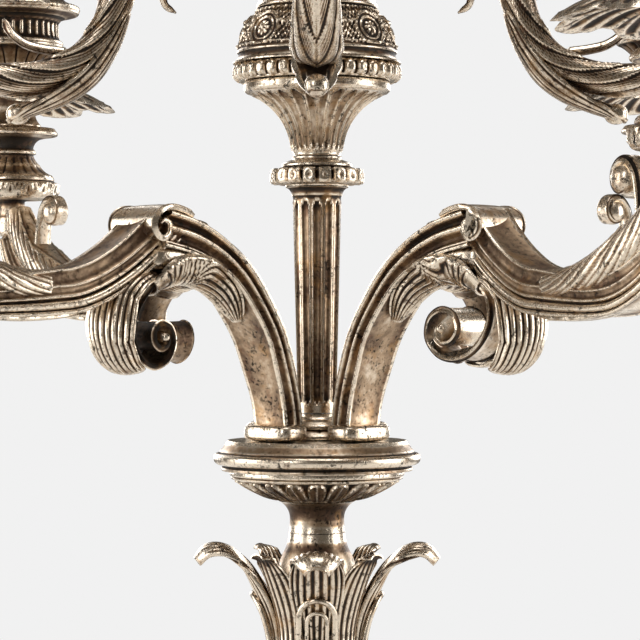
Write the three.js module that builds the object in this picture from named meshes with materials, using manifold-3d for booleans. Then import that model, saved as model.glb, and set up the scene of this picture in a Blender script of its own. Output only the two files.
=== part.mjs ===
// A two-tier candelabrum in silvered bronze: a turned stem on a round foot, four lower arms
// that stand on a moulded disc, four upper arms bolted to a hub, and a light on top.
// Millimetres, +Z up. The origin is the middle of the foot, on the table.
import * as THREE from "three";
import { mergeVertices } from "three/addons/utils/BufferGeometryUtils.js";
import Module from "manifold-3d";

// Driving dimensions
const GAP = 0.3; // between pieces that touch
const ROD_RADIUS = 3;
const BORE_RADIUS = 3.4; // every piece that the tie rod passes
const STUD_RADIUS = 3;
const STUD_HOLE_RADIUS = 3.4;
const TABLE_TO_DISC = 382; // top of the disc that the lower arms stand on
const DOME_BOSS = 77; // under the foot dome, where the tie rod's nut pulls
const TABLE_TO_HUB = 576; // axis of the upper arms' studs
const TOP_FLANGE = 692; // top flange of the central light's post
const ARM_COUNT = 4;
const LOWER_FIRST_ANGLE = -45; // lower arms stand between the upper ones
const UPPER_FIRST_ANGLE = -90;
const ARCH_WIDTH = 24;
const ROLL_WIDTH = 30;
const ROLL_RADIUS = 8;
const BRANCH_PIVOT = 91; // the branch's stud, straight under the arch's roll
const BRANCH_SEAT = 73.4; // its height above the disc
const BRANCH_TURN = [-16, -6, -6, -6]; // each branch as it was set on its stud, in degrees
const BRANCH_WIDTH = 15;
const LOWER_CUP_RADIUS = 215; // stem axis to candle axis
const LOWER_CUP_FLANGE = 137; // above the disc
const UPPER_CUP_RADIUS = 168;
const UPPER_CUP_FLANGE = 31; // above the stud axis
const UPPER_ARM_WIDTH = 17;
const HUB_RADIUS = 24;
const HUB_BORE = 18.5;
const ARM_ROOT = HUB_RADIUS + GAP;
const FOOT_STUD_AT = 23; // lower arm's stud, from the stem axis
const SOCKET_RADIUS = 11.2; // takes a 22 mm candle
const SPIGOT_RADIUS = 4.8;
const SPIGOT_BORE = 5.2;
const TURNED_SIDES = 18;
const CUP_SIDES = 10;

// Finishes
const SILVER = new THREE.MeshStandardMaterial({ color: 0xb9ab97, roughness: 0.32, metalness: 1 });
const DARK_SILVER = new THREE.MeshStandardMaterial({ color: 0x8c7f6c, roughness: 0.45, metalness: 1 });
const STEEL = new THREE.MeshStandardMaterial({ color: 0x8a8a88, roughness: 0.5, metalness: 1 });
const FELT = new THREE.MeshStandardMaterial({ color: 0x2f4a33, roughness: 0.95, metalness: 0 });

const wasm = await Module();
wasm.setup();

function solid(geometry) {
  const bare = new THREE.BufferGeometry();
  bare.setAttribute("position", geometry.getAttribute("position").clone());
  if (geometry.index) bare.setIndex(geometry.index.clone());
  const merged = mergeVertices(bare, 1e-4);
  return new wasm.Manifold(
    new wasm.Mesh({
      numProp: 3,
      vertProperties: merged.attributes.position.array,
      triVerts: new Uint32Array(merged.index.array),
    }),
  );
}

function geometryOf(made) {
  const mesh = made.getMesh();
  const geometry = new THREE.BufferGeometry();
  geometry.setAttribute("position", new THREE.BufferAttribute(mesh.vertProperties, 3));
  geometry.setIndex(new THREE.BufferAttribute(mesh.triVerts, 1));
  return geometry;
}

function join(first, ...others) {
  return geometryOf(others.reduce((whole, next) => whole.add(solid(next)), solid(first)));
}

function cut(body, ...tools) {
  return geometryOf(tools.reduce((whole, tool) => whole.subtract(solid(tool)), solid(body)));
}

// A solid turned about Z from an outline of [radius, height], which starts and ends on the
// axis or is closed here into a ring.
function turned(outline, sides = TURNED_SIDES) {
  const points = outline.map(([radius, height]) => new THREE.Vector2(radius, height));
  if (outline[0][0] > 0) points.push(points[0].clone());
  return new THREE.LatheGeometry(points, sides).rotateX(Math.PI / 2);
}

// A turned piece with the tie rod's bore: the outline runs up its outside only.
function bored(outline, bore = BORE_RADIUS, sides = TURNED_SIDES) {
  const bottom = outline[0][1];
  const top = outline.at(-1)[1];
  return turned([[bore, bottom], ...outline, [bore, top]], sides);
}

function rodAlongZ(radius, from, to, sides = CUP_SIDES) {
  return new THREE.CylinderGeometry(radius, radius, to - from, sides)
    .rotateX(Math.PI / 2)
    .translate(0, 0, (from + to) / 2);
}

function rodAlongX(radius, from, to, height, sides = CUP_SIDES) {
  return new THREE.CylinderGeometry(radius, radius, to - from, sides)
    .rotateZ(Math.PI / 2)
    .translate((from + to) / 2, 0, height);
}

// A short roller that lies across an arm.
function roller(radius, width, at, height, sides = 12) {
  return new THREE.CylinderGeometry(radius, radius, width, sides).translate(at, 0, height);
}

function block(from, to, width, bottom, top) {
  return new THREE.BoxGeometry(to - from, width, top - bottom)
    .translate((from + to) / 2, 0, (bottom + top) / 2);
}

// A band that lies in an arm's own upright plane and follows a smooth line through
// [distance, height, thickness] points, extruded across the arm.
function band(points, width, steps) {
  const line = new THREE.SplineCurve(points.map(([x, y]) => new THREE.Vector2(x, y)));
  const left = [];
  const right = [];
  for (let i = 0; i <= steps; i++) {
    const t = i / steps;
    const at = line.getPoint(t);
    const along = line.getTangent(t);
    const half = thicknessAt(points, t) / 2;
    left.push(new THREE.Vector2(at.x - along.y * half, at.y + along.x * half));
    right.push(new THREE.Vector2(at.x + along.y * half, at.y - along.x * half));
  }
  const outline = new THREE.Shape([...left, ...right.reverse()]);
  return new THREE.ExtrudeGeometry(outline, { depth: width, bevelEnabled: false })
    .translate(0, 0, -width / 2)
    .rotateX(Math.PI / 2);
}

function thicknessAt(points, t) {
  const place = t * (points.length - 1);
  const before = Math.min(Math.floor(place), points.length - 2);
  return THREE.MathUtils.lerp(points[before][2], points[before + 1][2], place - before);
}

// Foot and stem, bottom to top
function baseFelt() {
  return turned([[0, 0], [98, 0], [98, 2], [0, 2]]);
}

function footPlinth() {
  return turned([
    [97, 2 + GAP], [101, 2 + GAP], [104, 6], [104, 12], [99, 15], [101, 19], [98, 25], [92, 27], [88, 31],
    [83, 31], [86, 25], [94, 20], [96, 10],
  ]);
}

function footDome() {
  const bottom = 31 + GAP;
  return turned([
    [82, bottom], [86, bottom], [87, 35], [80, 41], [64, 47], [47, 55], [36, 65], [30, 76], [28, 84],
    [BORE_RADIUS, 84], [BORE_RADIUS, DOME_BOSS], [24, DOME_BOSS], [32, 62], [60, 44], [78, 37],
  ]);
}

function footCollar() {
  return bored([[27, 84 + GAP], [31, 88], [31, 93], [25, 97], [19, 101]]);
}

function baluster() {
  return turned([
    [BORE_RADIUS, 101 + GAP], [18, 101 + GAP], [17, 110], [22, 128], [31, 152], [36, 175], [35, 192],
    [27, 206], [18, 214], [14, 222], [15, 230], [BORE_RADIUS, 230], [BORE_RADIUS, 222], [23, 204], [31, 188],
    [27, 154], [16, 125], [BORE_RADIUS, 108],
  ]);
}

function knop() {
  return bored([[14, 230 + GAP], [22, 234], [26, 240], [22, 246], [14, 250]]);
}

function calyxStem() {
  return bored([
    [13, 250 + GAP], [12, 262], [15, 272], [20, 280], [20, 286], [16, 290], [15, 298], [17, 310], [17, 325],
    [13, 338], [11, 345],
  ]);
}

// Eight leaves that stand round the calyx stem, joined by a ring at their roots.
function leafCalyx() {
  const ring = turned([
    [20.4, 289], [22, 289], [24, 296], [24, 304], [20.4, 304],
  ]);
  const leaf = [[22.2, 298, 3.4], [24, 316, 3.2], [30, 334, 3], [40, 343, 2.6], [46, 339, 2.2]];
  const narrowLeaf = leaf.map(([x, z, thickness]) => [21.6 + (x - 21.6) * 0.72, z + 1, thickness]);
  const leaves = [];
  for (let i = 0; i < 8; i++) {
    const line = i % 2 ? narrowLeaf : leaf;
    leaves.push(band(line, i % 2 ? 9 : 15, 5).rotateZ((i * Math.PI) / 4));
  }
  return join(ring, ...leaves);
}

function neck() {
  return bored([[11, 345 + GAP], [10.8, 348], [12, 352], [15.2, 357.7]]);
}

function discUnderside() {
  const top = 370 - GAP;
  return turned([
    [BORE_RADIUS, 358], [15, 358], [24, 360.5], [32, 364], [35, top], [31, top], [30, 365.4], [14, 361.5],
    [12, top], [BORE_RADIUS, top],
  ]);
}

function armDisc() {
  const disc = bored([
    [35.5, 370], [38, 370.5], [38, 372], [41, 373], [41.4, 376.5], [39.5, 379], [36, TABLE_TO_DISC],
  ]);
  return cut(disc, ...aroundStem(() => rodAlongZ(STUD_HOLE_RADIUS, 365, 385)
    .translate(FOOT_STUD_AT, 0, 0), LOWER_FIRST_ANGLE));
}

function aroundStem(make, firstAngle) {
  return Array.from({ length: ARM_COUNT }, (_, i) => make().rotateZ(armAngle(firstAngle, i)));
}

function armAngle(firstAngle, i) {
  return THREE.MathUtils.degToRad(firstAngle + (360 / ARM_COUNT) * i);
}

function columnBase() {
  const bottom = TABLE_TO_DISC + GAP;
  return bored([[9.2, bottom], [10.4, 384.5], [9, 386.5], [9.8, 389.5], [8.4, 392.5]]);
}

function flutedColumn() {
  return bored([[7, 393], [7.2, 400], [9.4, 479.5], [12.2, 483]]);
}

function leafTipRing() {
  return bored([[17, 483 + GAP], [18, 485], [18, 489], [16, 490.3], [12.8, 491], [12.8, 494], [9.8, 495]]);
}

function capital() {
  return bored([
    [9.8, 495 + GAP], [10.3, 497], [11.8, 504], [14.4, 509.6], [18, 514], [23.6, 518.2], [29, 521],
    [29.2, 525],
  ]);
}

function beadRing() {
  return bored([[30, 525 + GAP], [33.9, 527], [33.9, 531], [33.6, 532]], 20);
}

function urn() {
  return turned([
    [BORE_RADIUS, 525 + GAP], [19.6, 525 + GAP], [19.6, 532 + GAP], [33, 532 + GAP], [31.4, 537], [31, 544],
    [28, 552], [24, 558], [BORE_RADIUS, 558], [BORE_RADIUS, 554], [20, 554], [27, 544], [16, 529],
    [BORE_RADIUS, 529],
  ]);
}

function hub() {
  const shell = turned([
    [BORE_RADIUS, 558 + GAP], [22, 558 + GAP], [HUB_RADIUS, 562], [HUB_RADIUS, 590], [HUB_BORE, 590],
    [HUB_BORE, 563], [BORE_RADIUS, 563],
  ]);
  const flats = aroundStem(() => block(HUB_RADIUS - 1.2, HUB_RADIUS + 3, 18, 562, 591), UPPER_FIRST_ANGLE);
  const holes = aroundStem(() => rodAlongX(STUD_HOLE_RADIUS, HUB_BORE - 3, HUB_RADIUS + 2, TABLE_TO_HUB),
    UPPER_FIRST_ANGLE);
  return cut(shell, ...flats, ...holes);
}

function hubCap() {
  return bored([[25, 590 + GAP], [25, 593], [20, 597], [12, 600]]);
}

function topStem() {
  const post = [
    [0, 622], [BORE_RADIUS, 622], [BORE_RADIUS, 600 + GAP], [11, 600 + GAP], [9, 606], [13, 614], [13, 620],
    [8, 628], [6, 640],
  ];
  const cup = cupPostOutline().map(([radius, height]) => [radius, height + TOP_FLANGE]);
  return turned([...post, ...cup], 16);
}

function tieRod() {
  return turned([[0, 68], [ROD_RADIUS, 68], [ROD_RADIUS, 621], [0, 621]], CUP_SIDES);
}

// A lower arch, in its own plane: X is the distance from the stem axis and Z is the height
// above the disc. Its foot's stud goes down through the disc.
function lowerArch() {
  const foot = block(16, 30.4, ARCH_WIDTH, GAP, 7);
  const rise = band([
    [26, 6, 9], [29, 22, 10], [36, 42, 12.5], [50, 62, 17], [68, 75, 18], [84, 82, 14], [91, 82, 14],
  ], ARCH_WIDTH, 10);
  const roll = roller(ROLL_RADIUS, ROLL_WIDTH, BRANCH_PIVOT, 82);
  const leaf = band([
    [44, 44, 5], [56, 56, 5], [69, 60, 4.5], [82, 55.6, 4], [94, 53.5, 4], [102, 48, 4], [103, 40, 4],
    [98, 32.5, 4], [90, 31, 4], [84.5, 36, 3.6],
  ], 22, 12);
  const volute = roller(6.4, 20, 90, 39, 12);
  const stud = rodAlongZ(STUD_RADIUS, -17, 2).translate(FOOT_STUD_AT, 0, 0);
  const whole = join(foot, rise, roll, leaf, volute, stud);
  const pinHole = rodAlongZ(2.9, 60, 81).translate(BRANCH_PIVOT, 0, 0);
  const seat = rodAlongZ(9.6, 57.2, BRANCH_SEAT + GAP).translate(BRANCH_PIVOT, 0, 0);
  return cut(whole, pinHole, seat);
}

// The turned part that carries a candle, from the top of its drip pan's seat down.
function cupPostOutline() {
  return [
    [6, -33], [20, -32.5], [22, -25], [13, -17], [9.8, -12], [15, -4], [21, -3], [21, 0],
    [SPIGOT_BORE, 0], [SPIGOT_BORE, -12], [0, -12],
  ];
}

function cupPost(bottom) {
  return turned([[0, bottom], [6, bottom], ...cupPostOutline()], CUP_SIDES);
}

// A lower branch, in its own plane: X is the distance from its stud and Z is the height above
// the disc.
function lowerBranch() {
  const reach = LOWER_CUP_RADIUS - BRANCH_PIVOT;
  const pad = rodAlongZ(9, 58.5, BRANCH_SEAT, 16);
  const pin = rodAlongZ(2.4, BRANCH_SEAT - 2, 80);
  const scroll = band([
    [2, 66, 13], [14, 62.6, 15], [42, 58, 17], [68, 59, 17], [92, 64, 14.5], [109, 73, 11],
    [reach - 1, 84, 9],
  ], BRANCH_WIDTH, 10);
  const curlLeg = band([[98, 68, 6], [100, 82, 5], [97, 96, 4.6], [88, 101, 5]], 9, 6);
  const curl = roller(6.4, 9, 89, 97, 12);
  const post = cupPost(-50).translate(reach, 0, LOWER_CUP_FLANGE);
  return join(pad, pin, scroll, curlLeg, curl, post);
}

// An upper arm, in its own plane: X is the distance from the stem axis and Z is the height
// above the hub's stud axis.
function upperArm() {
  const root = block(ARM_ROOT, ARM_ROOT + 5, 15, -9, 9);
  const arch = band([
    [ARM_ROOT + 2, 0, 12], [40, 6, 11], [60, 8, 13], [76, 1, 16], [79, -14, 16], [86, -32, 14], [98, -43, 14],
    [112, -48, 15], [128, -49, 14], [144, -42, 11], [157, -30, 9], [UPPER_CUP_RADIUS - 1, -20, 9],
  ], UPPER_ARM_WIDTH, 16);
  const roll = roller(9, UPPER_ARM_WIDTH + 5, 86, -8, 12);
  const leafTip = band([[92, -44, 7], [110, -58, 6], [124, -66, 4.6], [131, -74, 3]], 11, 4);
  const horn = band([[104, -38, 5], [116, -37, 4], [124, -32, 3]], 6, 3);
  const leafCurl = band([[44, 2, 6], [54, -6, 5], [60, -16, 4.4], [55, -22, 4]], 14, 5);
  const stud = rodAlongX(STUD_RADIUS, HUB_BORE - 7.5, ARM_ROOT + 2, 0);
  const post = cupPost(-50).translate(UPPER_CUP_RADIUS, 0, UPPER_CUP_FLANGE);
  return join(root, arch, roll, leafTip, horn, leafCurl, stud, post);
}

// Nuts stand on the arms' studs: under the disc, and inside the hub.
function nut(outer, thickness) {
  const body = new THREE.CylinderGeometry(outer, outer, thickness, 6).rotateX(Math.PI / 2);
  return cut(body, rodAlongZ(STUD_HOLE_RADIUS, -thickness, thickness));
}

// The drip pan's seat is at height 0 and its leaves spread round the candle.
function dripPan() {
  return turned([
    [SPIGOT_BORE, GAP], [12.6, GAP], [14, 9], [24, 14.6], [36, 12.6], [48, 7], [49, 9.5], [38, 15.5],
    [24, 18], [SPIGOT_BORE, 18],
  ], 14);
}

// The removable nozzle: a spigot, a vase-shaped body, a rim and the candle's socket.
function nozzle() {
  return turned([
    [0, -8], [SPIGOT_RADIUS, -8], [SPIGOT_RADIUS, 18 + GAP], [10, 18 + GAP], [14, 28], [23.4, 40],
    [22.5, 49], [31, 53], [31, 57.5], [23, 61], [SOCKET_RADIUS, 61], [SOCKET_RADIUS, 31], [0, 31],
  ], 12);
}

const candelabrum = new THREE.Group();

function addMesh(parent, name, geometry, material = SILVER) {
  const mesh = new THREE.Mesh(geometry, material);
  mesh.name = name;
  parent.add(mesh);
  return mesh;
}

function addStem() {
  addMesh(candelabrum, "base_felt", baseFelt(), FELT);
  addMesh(candelabrum, "foot_plinth", footPlinth());
  addMesh(candelabrum, "foot_dome", footDome());
  addMesh(candelabrum, "foot_collar", footCollar());
  addMesh(candelabrum, "baluster", baluster());
  addMesh(candelabrum, "knop", knop());
  addMesh(candelabrum, "calyx_stem", calyxStem(), DARK_SILVER);
  addMesh(candelabrum, "leaf_calyx", leafCalyx());
  addMesh(candelabrum, "neck", neck());
  addMesh(candelabrum, "disc_underside", discUnderside());
  addMesh(candelabrum, "arm_disc", armDisc());
  addMesh(candelabrum, "column_base", columnBase());
  addMesh(candelabrum, "fluted_column", flutedColumn());
  addMesh(candelabrum, "leaf_tip_ring", leafTipRing());
  addMesh(candelabrum, "capital", capital());
  addMesh(candelabrum, "bead_ring", beadRing());
  addMesh(candelabrum, "urn", urn());
  addMesh(candelabrum, "hub", hub(), DARK_SILVER);
  addMesh(candelabrum, "hub_cap", hubCap());
  addMesh(candelabrum, "top_stem", topStem());
  addMesh(candelabrum, "tie_rod", tieRod(), STEEL);
  addMesh(candelabrum, "tie_rod_nut", nut(7, 5), STEEL).position.z = DOME_BOSS - 2.5 - GAP;
}

// A pan and a nozzle on a post whose flange top is at the given place in the parent.
function addCup(parent, name, x, z) {
  addMesh(parent, "drip_pan_" + name, dripPan()).position.set(x, 0, z);
  addMesh(parent, "nozzle_" + name, nozzle()).position.set(x, 0, z);
}

function addLowerArm(i) {
  const arm = new THREE.Group();
  const number = i + 1;
  arm.position.z = TABLE_TO_DISC;
  arm.rotation.z = armAngle(LOWER_FIRST_ANGLE, i);
  addMesh(arm, "lower_arch_" + number, lowerArch());
  addMesh(arm, "lower_nut_" + number, nut(5.4, 4), STEEL).position.set(FOOT_STUD_AT, 0, -14.6);
  const branch = new THREE.Group();
  branch.position.x = BRANCH_PIVOT;
  branch.rotation.z = THREE.MathUtils.degToRad(BRANCH_TURN[i]);
  addMesh(branch, "lower_branch_" + number, lowerBranch());
  addCup(branch, "lower_" + number, LOWER_CUP_RADIUS - BRANCH_PIVOT, LOWER_CUP_FLANGE);
  arm.add(branch);
  candelabrum.add(arm);
}

function addUpperArm(i) {
  const arm = new THREE.Group();
  const number = i + 1;
  arm.position.z = TABLE_TO_HUB;
  arm.rotation.z = armAngle(UPPER_FIRST_ANGLE, i);
  addMesh(arm, "upper_arm_" + number, upperArm());
  const upperNut = addMesh(arm, "upper_nut_" + number, nut(5.2, 4), STEEL);
  upperNut.rotation.y = Math.PI / 2;
  upperNut.position.x = HUB_BORE - 3.4;
  addCup(arm, "upper_" + number, UPPER_CUP_RADIUS, UPPER_CUP_FLANGE);
  candelabrum.add(arm);
}

addStem();
for (let i = 0; i < ARM_COUNT; i++) {
  addLowerArm(i);
  addUpperArm(i);
}
addCup(candelabrum, "top", 0, TOP_FLANGE);

export default candelabrum;
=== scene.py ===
"""A two-tier candelabrum in worn silver plate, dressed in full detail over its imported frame.

Lengths are in millimetres until a mesh is laid, and angles are in degrees until they are used.
"""
import sys

import logging
import math
from collections.abc import Callable, Iterator, Sequence
from contextlib import contextmanager
from dataclasses import dataclass
from enum import Enum
from typing import ClassVar

import bpy
import numpy as np
from mathutils import Matrix, Vector


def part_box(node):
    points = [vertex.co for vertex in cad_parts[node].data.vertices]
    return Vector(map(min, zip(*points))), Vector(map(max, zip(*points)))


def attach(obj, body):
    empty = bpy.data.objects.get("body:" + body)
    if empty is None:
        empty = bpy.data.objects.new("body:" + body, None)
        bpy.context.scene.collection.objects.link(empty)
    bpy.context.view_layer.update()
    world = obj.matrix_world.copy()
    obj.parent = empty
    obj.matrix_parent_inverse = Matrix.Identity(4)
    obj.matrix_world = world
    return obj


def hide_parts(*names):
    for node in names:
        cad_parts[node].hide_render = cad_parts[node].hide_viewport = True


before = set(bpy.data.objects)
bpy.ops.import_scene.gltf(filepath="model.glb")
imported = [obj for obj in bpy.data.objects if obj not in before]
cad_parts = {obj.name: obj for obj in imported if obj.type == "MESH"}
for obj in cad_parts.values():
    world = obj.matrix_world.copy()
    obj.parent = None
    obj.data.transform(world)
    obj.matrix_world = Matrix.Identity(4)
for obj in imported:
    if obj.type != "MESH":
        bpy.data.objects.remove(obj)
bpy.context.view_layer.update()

log = logging.getLogger("candelabrum")

MM = 0.001
PLAIN_PITCH = 14.0  # longest step in mm on level faces and down a bore, which carry no ornament
# The hollow measure darkens the silver's colour in the grooves, partly as tarnish and partly as painted
# shade.
HOLLOW = "hollow"  # each vertex's place between a ridge (-1) and the bottom of a groove (1)
STAND = "stand"
Array = np.ndarray
Coordinates = tuple[Array, Array, Array]
Points = Sequence[Sequence[float]]
Relief = Callable[[Array, Array, Array], Array]


class Slot(Enum):
    """The record's material slots, as named on each turned piece."""

    SILVER = "silver_plate"
    DARK_SILVER = "dark_silver_plate"
    FELT = "felt"


# ---------------------------------------------------------------- curves


def through(knots: Sequence[float], values: Sequence[float], at: Array) -> Array:
    """A smooth curve through values at knots.

    Args:
        knots: where the values stand, rising.
        values: the values to pass through.
        at: where to read the curve.

    Returns:
        The curve's value at each place.
    """
    k, y = np.asarray(knots, float), np.asarray(values, float)
    slope = np.gradient(y, k)
    i = np.clip(np.searchsorted(k, at, side="right") - 1, 0, len(k) - 2)
    step = k[i + 1] - k[i]
    s = (at - k[i]) / step
    here = (2 * s**3 - 3 * s**2 + 1) * y[i] + (s**3 - 2 * s**2 + s) * step * slope[i]
    return here + (3 * s**2 - 2 * s**3) * y[i + 1] + (s**3 - s**2) * step * slope[i + 1]


def ease(low: float | Array, high: float | Array, x: Array) -> Array:
    """A smooth step from 0 at low to 1 at high."""
    s = np.clip((x - low) / (high - low), 0, 1)
    return s * s * (3 - 2 * s)


def profile(outline: Points, pitch: float = 1.5) -> Array:
    """Points along an outline of straight and round stretches.

    Args:
        outline: [radius, height] or [radius, height, bulge] corners; a bulge above 0 makes the
            stretch that ends there stand out, below 0 hollows it, and 1 is a half circle.
        pitch: the longest step between points.

    Returns:
        The points, one row each.
    """
    made = [np.array(outline[0][:2], float)]
    for corner in outline[1:]:
        start, end = made[-1], np.array(corner[:2], float)
        bulge = corner[2] if len(corner) > 2 else 0.0
        chord = end - start
        length = float(np.hypot(*chord))
        out = np.array([chord[1], -chord[0]]) / length
        turn = 4 * math.atan(abs(bulge))
        flat = not bulge and (abs(chord[1]) < 0.5 or chord[1] < -1.5)
        steps = max(1, math.ceil(length / (PLAIN_PITCH if flat else pitch)), math.ceil(turn / 0.45))
        for s in np.linspace(0, 1, steps + 1)[1:]:
            along, sag = s, 0.0
            if bulge:
                angle = turn * (s - 0.5)
                along = 0.5 + math.sin(angle) / (2 * math.sin(turn / 2))
                sag = (math.cos(angle) - math.cos(turn / 2)) / (2 * math.sin(turn / 2))
            made.append(start + chord * along + out * (sag * length * math.copysign(1, bulge)))
    return np.array(made)


@dataclass(frozen=True)
class Track:
    """A smooth line in an arm's upright plane: X runs away from the stem, Z is height."""

    points: Points

    @property
    def knots(self) -> Array:
        """Each point's share of the line's length."""
        steps = np.hypot(*np.diff(np.array(self.points, float), axis=0).T)
        run = np.concatenate([[0], np.cumsum(steps)])
        return run / run[-1]

    def keyed(self, values: Sequence[float], t: Array) -> Array:
        """A value that is given at each of the line's points, read at t."""
        return through(self.knots, values, t)

    def lay(self, t: Array, lateral: Array, lift: Array) -> Coordinates:
        """Places beside the line.

        Args:
            t: share of the line, 0 to 1.
            lateral: distance across the arm.
            lift: distance from the line, to the left as one walks along it.

        Returns:
            The three coordinates.
        """
        xs, zs = zip(*self.points)
        x, z = self.keyed(xs, t), self.keyed(zs, t)
        ahead, behind = np.minimum(t + 1e-3, 1), np.maximum(t - 1e-3, 0)
        dx, dz = (self.keyed(values, ahead) - self.keyed(values, behind) for values in (xs, zs))
        size = np.hypot(dx, dz)
        return x - dz / size * lift, lateral, z + dx / size * lift


def spiral(centre: Sequence[float], radius: float, inner: float, start: float, turns: float) -> Points:
    """Points on a spiral that winds inwards.

    Args:
        centre: the eye.
        radius: where it starts.
        inner: where it ends.
        start: direction of its first point from the eye, in degrees.
        turns: how many turns it makes, below 0 for clockwise.

    Returns:
        The points, 16 to the turn.
    """
    count = int(abs(turns) * 16) + 1
    made = []
    for i in range(count):
        share = i / (count - 1)
        angle = math.radians(start + 360 * turns * share)
        size = radius + (inner - radius) * share**0.8
        made.append((centre[0] + size * math.cos(angle), centre[1] + size * math.sin(angle)))
    return made


# ---------------------------------------------------------------- work on meshes


@contextmanager
def editing(piece: bpy.types.Object) -> Iterator[None]:
    """Opens a piece in edit mode with all of it selected, and nothing else."""
    bpy.ops.object.select_all(action="DESELECT")
    piece.select_set(True)
    bpy.context.view_layer.objects.active = piece
    bpy.ops.object.mode_set(mode="EDIT")
    bpy.ops.mesh.select_mode(type="VERT")
    bpy.ops.mesh.select_all(action="SELECT")
    yield
    bpy.ops.object.mode_set(mode="OBJECT")


def points_of(piece: bpy.types.Object) -> Array:
    """A mesh's vertices, one row each."""
    co = np.zeros(len(piece.data.vertices) * 3, np.float32)
    piece.data.vertices.foreach_get("co", co)
    return co.reshape(-1, 3).astype(float)


def move_points(piece: bpy.types.Object, points: Array) -> None:
    """Puts a mesh's vertices at new places."""
    piece.data.vertices.foreach_set("co", points.astype(np.float32).ravel())
    piece.data.update()


def close_up(piece: bpy.types.Object, cap: bool = True) -> None:
    """Welds a mesh's seams and poles, closes its ends and turns its faces outwards."""
    with editing(piece):
        bpy.ops.mesh.remove_doubles(threshold=2e-6)
        if cap:
            bpy.ops.mesh.fill_holes(sides=0)
        bpy.ops.mesh.normals_make_consistent(inside=False)


def lay(
    name: str, across: int, along: int, place: Callable[[Array, Array], Coordinates], cap: bool = True
) -> bpy.types.Object:
    """A closed skin, from a grid whose sides meet.

    Args:
        name: the piece's name.
        across: faces round the skin.
        along: faces along it.
        place: gives the coordinates in mm from the shares round and along the skin.
        cap: whether its two ends are closed.

    Returns:
        The piece.
    """
    bpy.ops.object.select_all(action="DESELECT")
    bpy.ops.mesh.primitive_grid_add(x_subdivisions=across, y_subdivisions=along, size=1)
    piece = bpy.context.active_object
    piece.name = piece.data.name = name
    flat = points_of(piece)
    move_points(piece, np.stack(place(flat[:, 0] + 0.5, flat[:, 1] + 0.5), axis=1) * MM)
    close_up(piece, cap)
    return piece


def turn(name: str, outline: Points, steps: int, pitch: float = 1.5, base: float = 0.0) -> bpy.types.Object:
    """A piece turned about Z.

    Args:
        name: the piece's name.
        outline: corners as in profile, up the outside and down the bore.
        steps: how many faces it has round it.
        pitch: longest step along the outline.
        base: height of the outline's zero.

    Returns:
        The piece.
    """
    line = profile([*outline, outline[0][:2]], pitch)
    count = len(line) - 1

    def place(u: Array, v: Array) -> Coordinates:
        """A point of the turned skin."""
        i = np.rint(v * count).astype(int)
        return line[i, 0] * np.cos(u * math.tau), line[i, 0] * np.sin(u * math.tau), line[i, 1] + base

    return lay(name, steps, count, place, cap=False)


def normals_of(piece: bpy.types.Object) -> Array:
    """A mesh's vertex normals, one row each."""
    flat = np.zeros(len(piece.data.vertices) * 3, np.float32)
    piece.data.vertices.foreach_get("normal", flat)
    return flat.reshape(-1, 3).astype(float)


def carve(piece: bpy.types.Object, relief: Relief, base: float = 0.0) -> None:
    """Raises or sinks a turned surface.

    Args:
        piece: the piece to work on.
        relief: gives mm, above 0 outwards, from direction in degrees, height and radius in mm.
        base: height that relief counts as zero.
    """
    co = points_of(piece)
    angle = np.degrees(np.arctan2(co[:, 1], co[:, 0]))
    radius = np.hypot(co[:, 0], co[:, 1]) / MM
    depth = relief(angle, co[:, 2] / MM - base, radius)
    move_points(piece, co + normals_of(piece) * depth[:, None] * MM)


def measure_hollows(
    piece: bpy.types.Object, rubbed: float = 0.0, reaches: Sequence[float] = (1.2, 3.6)
) -> None:
    """Writes how deep in a groove each vertex lies, for the tarnish and painted shade that darken the
    grooves.

    Args:
        piece: the piece to measure.
        rubbed: how clean the whole piece is kept, which makes each place count as less deep and lightens
            its tarnish and painted groove shade alike.
        reaches: groove widths in mm that it looks for.
    """
    mesh = piece.data
    count = len(mesh.vertices)
    edges = np.zeros(len(mesh.edges) * 2, np.int64)
    mesh.edges.foreach_get("vertices", edges)
    a, b = edges.reshape(-1, 2).T
    co, normal = points_of(piece), normals_of(piece)
    degree = np.maximum(np.bincount(a, minlength=count) + np.bincount(b, minlength=count), 1)
    step = np.median(np.linalg.norm(co[a] - co[b], axis=1)) / MM
    smooth, done, total = co.copy(), 0, np.zeros(count)
    for reach in reaches:
        passes = int(np.clip((reach / step) ** 2, 3, 60))
        for _ in range(passes - done):
            near = [
                np.bincount(a, smooth[b, i], count) + np.bincount(b, smooth[a, i], count) for i in range(3)
            ]
            smooth = 0.5 * smooth + 0.5 * np.stack(near, axis=1) / degree[:, None]
        done = max(done, passes)
        depth = np.einsum("ij,ij->i", smooth - co, normal) / MM
        total += np.clip(depth / (0.15 * reach), -1, 1)
    attribute = mesh.attributes.get(HOLLOW) or mesh.attributes.new(HOLLOW, "FLOAT", "POINT")
    attribute.data.foreach_set("value", np.clip(0.65 * total - rubbed, -1, 1).astype(np.float32))


def join(pieces: Sequence[bpy.types.Object], rubbed: float | None = None) -> bpy.types.Object:
    """Joins pieces of one casting into the first of them.

    Args:
        pieces: the pieces.
        rubbed: how clean they are kept, if their hollows are still to be measured.

    Returns:
        The casting.
    """
    bpy.ops.object.select_all(action="DESELECT")
    for piece in pieces:
        if rubbed is not None:
            measure_hollows(piece, rubbed)
        piece.select_set(True)
    bpy.context.view_layer.objects.active = pieces[0]
    bpy.ops.object.join()
    return pieces[0]


def discard(*patterns: bpy.types.Object) -> None:
    """Removes patterns once their copies are made."""
    for pattern in patterns:
        bpy.data.objects.remove(pattern)


def copy_of(piece: bpy.types.Object, name: str) -> bpy.types.Object:
    """A copy of a piece with a mesh of its own."""
    made = piece.copy()
    made.data = piece.data.copy()
    made.name = made.data.name = name
    bpy.context.scene.collection.objects.link(made)
    return made


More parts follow.
